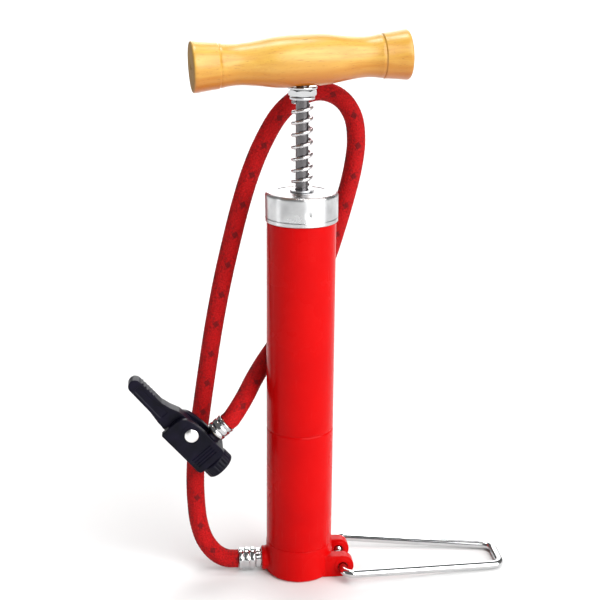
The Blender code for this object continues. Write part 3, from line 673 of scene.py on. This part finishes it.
def swept_mesh(name, path, radius, sides, relief=None, dome=0.0, place=Matrix()):
    """A round bar along a path in millimetres; relief(angles, lengths) adds to the radius."""
    points, ahead, side, lengths = along_path(path)
    angles = np.arange(sides) * math.tau / sides
    reach = np.full((len(points), sides), radius)
    if relief is not None:
        reach = reach + relief(angles[None, :], lengths[:, None])
    if dome:
        bends = np.radians((75.0, 50.0, 25.0))
        for end, order in ((0, 1), (-1, -1)):
            push = -ahead[end] * order
            extra = [points[end] + push * dome * math.sin(bend) for bend in bends[::order]]
            grown = [np.full(sides, radius * math.cos(bend)) for bend in bends[::order]]
            parts = (extra, points) if order > 0 else (points, extra)
            points = np.vstack(parts)
            reach = np.vstack((grown, reach) if order > 0 else (reach, grown))
            more = np.repeat(side[end][None], len(bends), axis=0)
            side = np.vstack((more, side) if order > 0 else (side, more))
            more = np.repeat(ahead[end][None], len(bends), axis=0)
            ahead = np.vstack((more, ahead) if order > 0 else (ahead, more))
    across = np.cross(ahead, side)
    sideways = np.cos(angles)[None, :, None] * side[:, None, :]
    ring = sideways + np.sin(angles)[None, :, None] * across[:, None, :]
    grid = (points[:, None, :] + reach[..., None] * ring).reshape(-1, 3)
    rows = len(points)
    faces = [
        (row * sides + step, row * sides + (step + 1) % sides,
         (row + 1) * sides + (step + 1) % sides, (row + 1) * sides + step)
        for row in range(rows - 1)
        for step in range(sides)
    ]
    faces.append(range(sides))
    faces.append(range((rows - 1) * sides, rows * sides))
    mesh = new_mesh(name, grid, faces)
    mesh.transform(place)
    return mesh


def helix(radius, bottom, top, turns, points_per_turn=40):
    """A coil round Z whose end turns close up, as the CAD's does."""
    count = round(turns * points_per_turn)
    points = []
    for index in range(count + 1):
        share = index / count
        eased = share - 0.75 / (turns * math.tau) * math.sin(math.tau * share)
        angle = math.tau * turns * share
        points.append((radius * math.cos(angle), radius * math.sin(angle), bottom + (top - bottom) * eased))
    return points


def smooth_route(route, step):
    """Points about step apart on a smooth curve through the route (centripetal Catmull-Rom)."""
    knots = [Vector(point) for point in route]
    knots.insert(0, 2.0 * knots[0] - knots[1])
    knots.append(2.0 * knots[-1] - knots[-2])
    fine = []
    for before, first, second, after in zip(knots, knots[1:], knots[2:], knots[3:]):
        times = [0.0]
        for one, other in ((before, first), (first, second), (second, after)):
            times.append(times[-1] + math.sqrt((other - one).length))
        for part in range(24):
            now = times[1] + (times[2] - times[1]) * part / 24.0
            low = [
                before.lerp(first, now / times[1]),
                first.lerp(second, (now - times[1]) / (times[2] - times[1])),
                second.lerp(after, (now - times[2]) / (times[3] - times[2])),
            ]
            middle = [
                low[0].lerp(low[1], now / times[2]),
                low[1].lerp(low[2], (now - times[1]) / (times[3] - times[1])),
            ]
            fine.append(middle[0].lerp(middle[1], (now - times[1]) / (times[2] - times[1])))
    fine.append(knots[-2])
    points = np.array(fine)
    lengths = np.concatenate(([0.0], np.cumsum(np.linalg.norm(np.diff(points, axis=0), axis=1))))
    want = np.linspace(0.0, lengths[-1], max(2, round(lengths[-1] / step)) + 1)
    return np.stack([np.interp(want, lengths, points[:, axis]) for axis in range(3)], axis=1)


def piece(name, mesh, slot, body, replaces=(), place=Matrix(), smooth_angle=35.0, finish=None):
    """One visible piece: its finish, the body it rides on and the CAD node it stands for."""
    mesh.materials.clear()
    mesh.materials.append(finishes[finish or slot])
    mesh.shade_smooth()
    mesh.set_sharp_from_angle(angle=math.radians(smooth_angle))
    made = bpy.data.objects.new(name, mesh)
    bpy.context.scene.collection.objects.link(made)
    made.matrix_world = place
    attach(made, body)
    if replaces:
        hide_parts(replaces)
    return made


def shaped(name, blank, added=(), cut=(), common=(), skin=0.0, soften=0):
    """Join, cut and intersect solids; skin remeshes the result at that size and soften rounds its edges."""
    made = bpy.data.objects.new(name, blank)
    bpy.context.scene.collection.objects.link(made)
    tools = []
    for meshes, operation in ((added, "UNION"), (cut, "DIFFERENCE"), (common, "INTERSECT")):
        for mesh in meshes:
            tool = bpy.data.objects.new("tool", mesh)
            bpy.context.scene.collection.objects.link(tool)
            step = made.modifiers.new("join", "BOOLEAN")
            step.operation = operation
            step.solver = "EXACT"
            step.object = tool
            tools.append(tool)
    if skin:
        remesh = made.modifiers.new("skin", "REMESH")
        remesh.mode = "VOXEL"
        remesh.voxel_size = skin * MM
    if soften:
        smooth = made.modifiers.new("soften", "SMOOTH")
        smooth.factor = 0.5
        smooth.iterations = soften
    bpy.context.view_layer.update()
    evaluated = made.evaluated_get(bpy.context.evaluated_depsgraph_get())
    mesh = bpy.data.meshes.new_from_object(evaluated)
    for old in (made, *tools):
        bpy.data.objects.remove(old, do_unlink=True)
    return mesh


def washer(name, node, slot, body, outer, inner=ROD_BORE, edge=0.3, place=Matrix(), facets=72):
    """A flat ring with broken edges, as tall as its CAD node."""
    low, high = (corner[2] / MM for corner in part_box(node))
    outline = rounded([(outer, low), (outer, high), (inner, high), (inner, low)], edge)
    return piece(name, turned_mesh(name, outline, facets), slot, body, node, place)


def hex_nut(name, node, slot, body, across_flats):
    """A nut with chamfered corners and a countersunk bore, as tall as its CAD node."""
    low, high = (corner[2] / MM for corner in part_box(node))
    corner = across_flats / math.sqrt(3.0)
    drop = 0.55 * (corner - across_flats / 2.0)
    flat = across_flats / 2.0 - 0.2
    blank = turned_mesh(name, [(0.0, low), (corner, low), (corner, high), (0.0, high)], 6, False)
    lens_outline = [(0.0, low), (flat, low), (corner, low + drop)]
    lens_outline += [(corner, high - drop), (flat, high), (0.0, high)]
    lens = turned_mesh("lens", lens_outline, 72, False)
    sink = ROD_BORE + 0.6
    drill_outline = [(0.0, low - 1.0), (sink, low - 1.0), (sink, low), (ROD_BORE, low + 0.6)]
    drill_outline += [(ROD_BORE, high - 0.6), (sink, high), (sink, high + 1.0), (0.0, high + 1.0)]
    drill = turned_mesh("drill", drill_outline, 48, False)
    return piece(name, shaped(name, blank, cut=[drill], common=[lens]), slot, body, node)


# ---------------------------------------------------------------- the pump's pieces


def make_hose():
    """The braided hose: strands lie over and under each other in the mesh itself."""
    route = [HOSE_ROUTE[0], *smooth_route(HOSE_ROUTE[1:-1], HOSE_STEP * MM), HOSE_ROUTE[-1]]
    path = np.array(route) / MM

    def strands(angles, lengths):
        around = CARRIERS * angles / math.tau
        return around + lengths / STRAND_STEP, around - lengths / STRAND_STEP

    def relief(angles, lengths):
        first, second = strands(angles, lengths)
        over = (np.floor(first) + np.floor(second)) % 2 > 0.5
        across = np.where(over, first % 1.0, second % 1.0)
        onward = np.where(over, second % 1.0, first % 1.0)
        crown = 1.0 - np.abs(2.0 * across - 1.0) ** 2.4
        return STRAND_RELIEF * (crown * (0.55 + 0.45 * np.sin(math.pi * onward)) - 0.75)

    mesh = swept_mesh("hose_braid", path, HOSE_RADIUS, HOSE_SIDES, relief)
    lengths = along_path(path)[3]
    weave = mesh.uv_layers.new(name="weave")
    corners = np.zeros(len(mesh.loops), np.int32)
    mesh.loops.foreach_get("vertex_index", corners)
    rows, steps = np.divmod(corners, HOSE_SIDES)
    angles = steps * math.tau / HOSE_SIDES
    starts = np.zeros(len(mesh.polygons), np.int32)
    totals = np.zeros(len(mesh.polygons), np.int32)
    mesh.polygons.foreach_get("loop_start", starts)
    mesh.polygons.foreach_get("loop_total", totals)
    face_of = np.repeat(np.arange(len(starts)), totals)
    lowest = np.minimum.reduceat(steps, starts)
    highest = np.maximum.reduceat(steps, starts)
    wraps = ((lowest == 0) & (highest == HOSE_SIDES - 1) & (totals == 4))[face_of]
    angles = np.where(wraps & (steps == 0), math.tau, angles)
    first, second = strands(angles, lengths[rows])
    weave.data.foreach_set("uv", np.stack((first, second), axis=1).ravel())
    hose = piece("hose_braid", mesh, "braid", "barrel", "hose", smooth_angle=80.0)
    return hose, route, lengths[-1] * MM


def ferrule(name, node, start, end, radius, bore, place):
    """A crimped sleeve: two pressed rings and a rolled lip."""
    middle = (start + end) / 2.0
    outline = divided(rounded([(radius, start), (radius, end), (bore, end), (bore, start)], 0.5), 0.18)

    def relief(angle, height):
        rings = sum(math.exp(-((height - middle - side) / 0.55) ** 2) for side in (-1.7, 1.7))
        return -rings * (0.42 + 0.14 * math.cos(8.0 * angle))

    mesh = turned_mesh(name, outline, 96, True, relief, bore + 0.4)
    return piece(name, mesh, "chrome", "barrel", node, place)


def make_head():
    """The thumb-lock head; it returns the pieces that hang on the hose."""
    side = [(-11.3, HEAD_BOTTOM), (6.0, HEAD_BOTTOM), (6.0, -3.0), (5.4, 3.0), (4.2, 7.6)]
    side += [(1.8, 10.2), (-1.0, 10.8), (-10.6, 10.8), (-11.3, 10.1)]
    blank = plate_mesh("body", rounded(side, 2.2), HEAD_HALF_WIDTH)
    to_hose = shifted(z=HOSE_PORT) @ turned_to("Y", 90.0)
    boss = turned_mesh("boss", [(0.0, 1.0), (5.4, 1.0), (5.4, 5.6), (4.6, 6.6), (4.6, 7.8), (0.0, 7.8)],
                       48, False, place=to_hose)
    on_axis = shifted(x=HEAD_AXIS)
    collar_outline = [(0.0, HEAD_BOTTOM), (7.7, HEAD_BOTTOM), (7.7, -16.4), (0.0, -16.4)]
    collar = turned_mesh("collar", collar_outline, 64, False, place=on_axis)
    cheeks = [
        turned_mesh("cheek", [(0.0, 7.0), (5.4, 7.0), (5.4, 7.75), (0.0, 7.75)], 48, False,
                    place=turned_to("X", 90.0 * way))
        for way in (-1, 1)
    ]
    slot = plate_mesh("slot", [(-14.0, -7.2), (7.3, -7.2), (7.3, 14.0), (-14.0, 14.0)], 4.2)
    bore_outline = [(0.0, -21.0), (6.6, -21.0), (6.6, -13.2), (3.1, -13.2), (3.1, -4.0), (0.0, -4.0)]
    bore = turned_mesh("bore", bore_outline, 48, False, place=on_axis)
    drill_outline = [(0.0, -12.0), (HEAD_HOLE, -12.0), (HEAD_HOLE, 12.0), (0.0, 12.0)]
    drill = turned_mesh("drill", drill_outline, 32, False, place=turned_to("X", 90.0))
    port = turned_mesh("port", [(0.0, 3.0), (2.8, 3.0), (2.8, 9.0), (0.0, 9.0)], 32, False, place=to_hose)
    grips = [
        plate_mesh("grip", [(-9.6, a - 0.35), (3.4, a - 0.35), (3.4, a + 0.35), (-9.6, a + 0.35)], 0.9,
                   shifted(y=way * (HEAD_HALF_WIDTH + 0.45)))
        for way in (-1, 1)
        for a in (-15.2, -13.6, -12.0, -10.4)
    ]
    mesh = shaped("head_shell", blank, [boss, collar, *cheeks], [slot, bore, drill, port, *grips],
                  skin=0.22, soften=5)
    body = piece("head_shell", mesh, "black_plastic", "barrel", "head_body", HEAD_PLACE, 60.0)

    cap_outline = [(7.2, -19.3), (6.4, -19.3), (6.4, -24.0), (4.7, -24.0), (4.7, -26.0), (7.0, -26.0)]
    cap_outline += [(7.8, -25.2), (7.8, -20.1)]
    cap_outline = divided(rounded(cap_outline, 0.35), 0.4)

    def flutes(angle, height):
        """Grip flutes that run out before both rims of the cap."""
        inside = min(1.0, max(0.0, (height + 25.2) / 0.8), max(0.0, (-20.2 - height) / 0.6))
        return -0.42 * inside * max(0.0, math.cos(20.0 * angle)) ** 2

    cap_mesh = turned_mesh("mouth_cap", cap_outline, 240, True, flutes, 7.3)
    cap = piece("mouth_cap", cap_mesh, "black_plastic", "barrel", "head_cap", HEAD_PLACE @ on_axis)

    seal_outline = rounded([(3.2, -23.7), (6.1, -23.7), (6.1, -16.2), (3.2, -16.2)], 0.9)
    seal = piece("mouth_seal", turned_mesh("mouth_seal", seal_outline, 72), "rubber", "barrel",
                 "valve_grommet", HEAD_PLACE @ on_axis)

    cam_end = arc((CAM_OFFSET, 0.0), CAM_RADIUS, 180.0, 380.0, 40)
    arm = [(3.6, 9.0), (3.2, 12.6), (1.2, 17.5), (0.0, 22.5), (-0.3, LEVER_LENGTH - 2.2)]
    arm += [(-1.8, LEVER_LENGTH - 0.4), (-3.8, LEVER_LENGTH), (-6.0, LEVER_LENGTH - 0.6)]
    arm += [(-7.2, LEVER_LENGTH - 2.4), (-7.6, 22.5), (-8.6, 16.0), (-8.8, 12.3), (-6.6, 11.4), (-6.4, 6.0)]
    lever_blank = plate_mesh("lever", cam_end + rounded(arm, 1.6, False), LEVER_HALF_WIDTH)
    ridges = [
        turned_mesh("ridge", [(0.0, -3.3), (0.55, -3.3), (0.55, 3.3), (0.0, 3.3)], 16, False,
                    place=shifted(x=-0.25, z=a) @ turned_to("X", 90.0))
        for a in (27.5, 29.7, 31.9, 34.1, 36.3)
    ]
    hollow = rounded([(-6.1, 16.5), (-5.6, 37.0), (-1.9, 37.0), (-1.9, 24.0), (-0.6, 16.5)], 1.2)
    hollows = [
        plate_mesh("hollow", hollow, 0.5, shifted(y=way * (LEVER_HALF_WIDTH + 0.1)))
        for way in (-1, 1)
    ]
    hole_outline = [(0.0, -6.0), (HEAD_HOLE, -6.0), (HEAD_HOLE, 6.0), (0.0, 6.0)]
    hole = turned_mesh("hole", hole_outline, 32, False, place=turned_to("X", 90.0))
    lever_mesh = shaped("thumb_lever", lever_blank, ridges, [hole, *hollows], skin=0.2, soften=5)
    lever = piece("thumb_lever", lever_mesh, "black_plastic", "lever", "lever", HEAD_PLACE, 60.0)

    shaft = [(0.0, -9.0), (1.6, -8.95), (2.8, -8.7), (3.5, -8.3), (3.6, -7.9), (2.0, -7.9)]
    shaft += [(radius, -height) for radius, height in reversed(shaft)]
    pin = piece("hinge_pin", turned_mesh("hinge_pin", rounded(shaft, 0.15, False), 48, False), "chrome",
                "barrel", "lever_pin", HEAD_PLACE @ turned_to("X", 90.0), finish="bright_rivet")
    sleeve = ferrule("head_sleeve", "head_ferrule", 8.4, 16.2, 5.5, 4.5, HEAD_PLACE @ to_hose)
    return [sleeve, body, cap, seal, lever, pin, "head_nipple", "plunger"]


def make_handle():
    """The turned wooden handle, its end flanges, the seat for the rod and the plug over the nut."""
    half = [(12.6, 0.0), (12.5, 7.0), (12.0, 14.0), (11.0, 20.5), (10.2, 27.0), (9.9, 32.0), (10.2, 36.4)]
    half += [(10.75, HANDLE_CUT - 0.6)]
    curve = smooth_route([(along, radius, 0.0) for radius, along in half], 1.2)
    right = [(point[1], point[0]) for point in curve]
    right += [(10.6, HANDLE_CUT), (11.1, HANDLE_CUT + 0.6)]
    right += [(11.3, 43.5), (11.65, 46.8), (12.05, 49.8), (12.3, 51.5)]
    right += arc((11.3, HANDLE_HALF - 1.15), 1.05, 0.0, 80.0, 5)
    right += [(10.6, HANDLE_HALF - 0.05), (6.0, HANDLE_HALF), (1.6, HANDLE_HALF - 0.05)]
    right += [(1.0, HANDLE_HALF - 0.7), (0.0, HANDLE_HALF - 0.8)]
    outline = [(radius, -along) for radius, along in reversed(right[1:])] + right
    profile = divided(outline, 2.0, False)
    along_wood = turned_to("Y", 90.0)
    lift = shifted(x=HANDLE_SHIFT)
    blank = turned_mesh("grip", profile, 144, False)
    upright = turned_to("Y", -90.0) @ shifted(x=-HANDLE_SHIFT)
    seat = [(0.0, -16.0), (7.9, -16.0), (7.9, -11.6), (4.1, -11.6), (4.1, 4.6), (7.0, 4.6), (7.0, 16.0)]
    seat += [(0.0, 16.0)]
    mesh = shaped("wood_grip", blank, cut=[turned_mesh("seat", seat, 96, False, place=upright)])
    piece("wood_grip", mesh, "wood", "rod", "handle", HANDLE_PLACE @ lift @ along_wood)

    plug_outline = [(0.0, 10.6), (6.93, 10.6), (6.93, 16.0), (0.0, 16.0)]
    plug_blank = turned_mesh("plug", plug_outline, 96, False, place=upright)
    inside = [(radius - 0.04 if radius else 0.0, along) for radius, along in profile]
    skin = turned_mesh("plug_top", inside, 144, False)
    mesh = shaped("grip_plug", plug_blank, common=[skin])
    piece("grip_plug", mesh, "wood", "rod", "handle_plug", HANDLE_PLACE @ lift @ along_wood)


def make_rod():
    """The rod with its threads, and the washers, nuts and spring on it."""
    low, high = (corner[2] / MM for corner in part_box("piston_rod"))
    outline = [(0.0, low), (2.7, low), (ROD_RADIUS, low + 0.5), (ROD_RADIUS, high - 10.0)]
    threads = np.linspace(high - 9.9, high - 0.5, 75)
    outline += [(ROD_RADIUS, height) for height in threads]
    outline += [(2.6, high), (0.0, high)]

    def thread(angle, height):
        if not high - 9.9 <= height <= high - 0.5:
            return 0.0
        return -THREAD_DEPTH * abs(2.0 * ((height / THREAD_PITCH + angle / math.tau) % 1.0) - 1.0)

    mesh = turned_mesh("plunger_rod", outline, 48, False, thread)
    piece("plunger_rod", mesh, "rod_steel", "rod", "piston_rod")
    spring_low, spring_high = (corner[2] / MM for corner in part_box("buffer_spring"))
    coil = helix(SPRING_RADIUS, spring_low + SPRING_WIRE, spring_high - SPRING_WIRE, SPRING_TURNS)
    mesh = swept_mesh("spring_coil", coil, SPRING_WIRE, 16)
    spring = piece("spring_coil", mesh, "spring_steel", "barrel", "buffer_spring", smooth_angle=60.0)
    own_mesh(spring)

    small = SMALL_WASHER_RADIUS
    washer("spring_foot_washer", "spring_bottom_washer", "zinc_steel", "barrel", small, edge=0.2)
    washer("spring_head_washer", "spring_top_washer", "zinc_steel", "buffer", small, edge=0.3)
    washer("grip_seat_washer", "handle_washer", "chrome", "rod", 7.3, edge=0.35)
    washer("grip_top_washer", "handle_top_washer", "zinc_steel", "rod", small, edge=0.25)
    hex_nut("seat_nut", "jam_nut", "chrome", "rod", 12.0)
    hex_nut("top_nut", "handle_top_nut", "zinc_steel", "rod", 10.0)


def make_barrel():
    """The painted tube with its rolled bead, and the plated cap."""
    low, high = (corner[2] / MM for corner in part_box("barrel_tube"))
    bead = [
        (BARREL_RADIUS - 0.34 * math.cos(math.pi * step / 16.0) ** 2, BEAD_Z + 0.9 * step / 8.0)
        for step in range(-8, 9)
    ]
    seam = low - 0.25
    outline = [(BARREL_RADIUS, seam), *bead, (BARREL_RADIUS, high), (BARREL_BORE, high), (BARREL_BORE, seam)]
    mesh = turned_mesh("painted_tube", rounded(outline, 0.12), 160)
    piece("painted_tube", mesh, "red_paint", "barrel", "barrel_tube")

    cap_low, cap_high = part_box("top_cap")[0][2] / MM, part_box("top_cap")[1][2] / MM
    skirt = high + 0.3
    cap_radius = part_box("top_cap")[1][0] / MM
    edge = arc((cap_radius - 1.7, cap_high - 1.7), 1.7, 0.0, 90.0, 8)
    outline = [(cap_radius - 0.35, skirt), (cap_radius, skirt + 0.35), (cap_radius, skirt + 1.9)]
    outline += [(cap_radius - 0.28, skirt + 2.2), (cap_radius, skirt + 2.5)]
    outline += edge
    outline += [(13.6, cap_high), (13.2, cap_high - 0.35), (9.2, cap_high - 0.35), (8.6, cap_high)]
    outline += [(4.6, cap_high), (3.6, cap_high - 0.8), (3.6, 204.0), (6.0, 204.0), (6.0, 193.0)]
    outline += [(8.2, 193.0), (8.2, 203.0), (13.5, 203.0), (13.5, cap_low), (16.0, cap_low), (16.0, skirt)]
    outline = divided(outline, 0.7)
    stakes = [math.radians(angle) for angle in STAKE_ANGLES]
    stake_height = skirt + 6.4

    def relief(angle, height):
        drop = 0.0
        for stake in stakes:
            around = math.remainder(angle - stake, math.tau) * cap_radius
            apart = math.hypot(around, height - stake_height)
            if apart < 4.0:
                drop -= 0.55 * math.exp(-(apart / 1.15) ** 2)
        return drop

    mesh = turned_mesh("plated_cap", outline, 240, True, relief, cap_radius - 0.1)
    piece("plated_cap", mesh, "chrome", "barrel", "top_cap", finish="spun_chrome")


def make_base():
    """The cast base with its ears and outlet boss, its edges softened as in a casting."""
    outline = [(0.0, 0.0), (16.7, 0.0), (17.9, 1.2), (17.9, 12.0), (17.6, 17.8), (17.5, 18.0), (16.0, 18.0)]
    outline += [(16.0, 20.4), (13.9, 20.4), (13.9, 22.8), (16.0, 22.8), (16.0, 25.2), (15.2, 26.0)]
    outline += [(5.3, 26.0), (5.3, 18.7), (3.4, 18.7), (3.4, 3.5), (0.0, 3.5)]
    blank = turned_mesh("base", outline, 128, False)
    ear_end = arc((HINGE_X, HINGE_Z), EAR_RADIUS, -90.0, 90.0, 24)
    ear_outline = [(10.0, HINGE_Z - EAR_RADIUS), *ear_end, (10.0, HINGE_Z + EAR_RADIUS)]
    ears = [plate_mesh("ear", ear_outline, 3.1, shifted(y=way * EAR_MIDDLE)) for way in (-1, 1)]
    knuckles = [
        turned_mesh("knuckle", [(0.0, -3.4), (4.4, -3.4), (4.4, 3.4), (0.0, 3.4)], 48, False,
                    place=shifted(HINGE_X, way * EAR_MIDDLE, HINGE_Z) @ turned_to("X", 90.0))
        for way in (-1, 1)
    ]
    to_outlet = shifted(z=OUTLET_Z) @ turned_to("Y", -90.0)
    boss = turned_mesh("boss", [(0.0, 10.0), (6.5, 10.0), (6.5, 19.8), (5.9, 20.4), (0.0, 20.4)], 64, False,
                       place=to_outlet)
    port = turned_mesh("port", [(0.0, 0.0), (2.2, 0.0), (2.2, 15.5), (3.7, 15.5), (3.7, 22.0), (0.0, 22.0)],
                       32, False, place=to_outlet)
    hinge = turned_mesh("hinge", [(0.0, -20.0), (2.5, -20.0), (2.5, 20.0), (0.0, 20.0)], 32, False,
                        place=shifted(HINGE_X, 0.0, HINGE_Z) @ turned_to("X", 90.0))
    mesh = shaped("cast_base", blank, [*ears, *knuckles, boss], [port, hinge], skin=0.28, soften=5)
    piece("cast_base", mesh, "red_paint", "barrel", "base_casting", smooth_angle=60.0)

    collar = [(1.5, 16.0), (1.5, 31.0), (2.4, 31.0), (2.4, 23.8), (5.2, 23.8), (5.6, 23.4), (5.6, 21.2)]
    collar += [(5.2, 20.8), (3.4, 20.8), (3.4, 16.0)]

    def flats(angle, height):
        if not 21.0 < height < 23.7:
            return 0.0
        return -0.35 * (1.0 - abs(math.cos(3.0 * angle)))

    mesh = turned_mesh("outlet_union", divided(collar, 0.5), 96, True, flats, 3.0)
    piece("outlet_union", mesh, "chrome", "barrel", "outlet_nipple", to_outlet)
    ferrule("base_sleeve", "base_ferrule", 24.1, 32.6, 6.0, 4.4, to_outlet)


def make_valve_spring():
    """The light spring under the non-return ball."""
    low, high = (corner[2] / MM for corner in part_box("check_valve_spring"))
    bottom, top = low + VALVE_SPRING_WIRE, high - VALVE_SPRING_WIRE
    coil = helix(VALVE_SPRING_RADIUS, bottom, top, VALVE_SPRING_TURNS, 24)
    mesh = swept_mesh("valve_coil", coil, VALVE_SPRING_WIRE, 10)
    spring = piece("valve_coil", mesh, "spring_steel", "barrel", "check_valve_spring", smooth_angle=60.0)
    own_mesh(spring)


def make_stirrup():
    """The folding stirrup: one bent plated wire, as in the CAD, with domed ends."""
    reach = STIRRUP_REACH - HINGE_X
    hinge_bend, tip_bend = 4.5, 5.5
    leg_turn = math.degrees(math.atan2(STIRRUP_HALF_WIDTH - STIRRUP_TIP_HALF_WIDTH, reach))
    half = [(0.0, 5.2 + 2.2)]
    half += [(0.0, width) for width in np.linspace(9.0, STIRRUP_HALF_WIDTH - hinge_bend - 0.5, 6)]
    hinge_centre = (hinge_bend, STIRRUP_HALF_WIDTH - hinge_bend)
    half += arc(hinge_centre, hinge_bend, 180.0, 90.0 - leg_turn, 14)
    tip_centre = (reach - tip_bend, STIRRUP_TIP_HALF_WIDTH - tip_bend)
    corner = arc(tip_centre, tip_bend, 90.0 - leg_turn, 0.0, 14)
    start = half[-1]
    half += [
        tuple(a + (b - a) * share for a, b in zip(start, corner[0]))
        for share in np.linspace(0.04, 0.96, 24)
    ]
    half += corner
    flat = half + [(along, -width) for along, width in reversed(half)]
    slope = (HINGE_Z - WIRE_RADIUS) / reach
    path = [(along, width, -slope * along) for along, width in flat]
    mesh = swept_mesh("wire_stirrup", path, WIRE_RADIUS, 28, dome=2.0)
    piece("wire_stirrup", mesh, "chrome", "stirrup", "stirrup", shifted(HINGE_X, 0.0, HINGE_Z), 60.0)


def refinish_frame():
    """Give the CAD nodes that stay their own finishes."""
    for row in frame["record"]["subparts"]:
        node = frame["nodes"][row["node"]]
        for holder in node.material_slots:
            holder.material = finishes[row["material_slot"]]


make_camera()
finishes = {slot: build() for slot, build in FINISHES.items()}
hose, hose_path, hose_length = make_hose()
on_hose = make_head()
make_studio()
make_base()
make_barrel()
make_valve_spring()
make_stirrup()
make_rod()
make_handle()
refinish_frame()
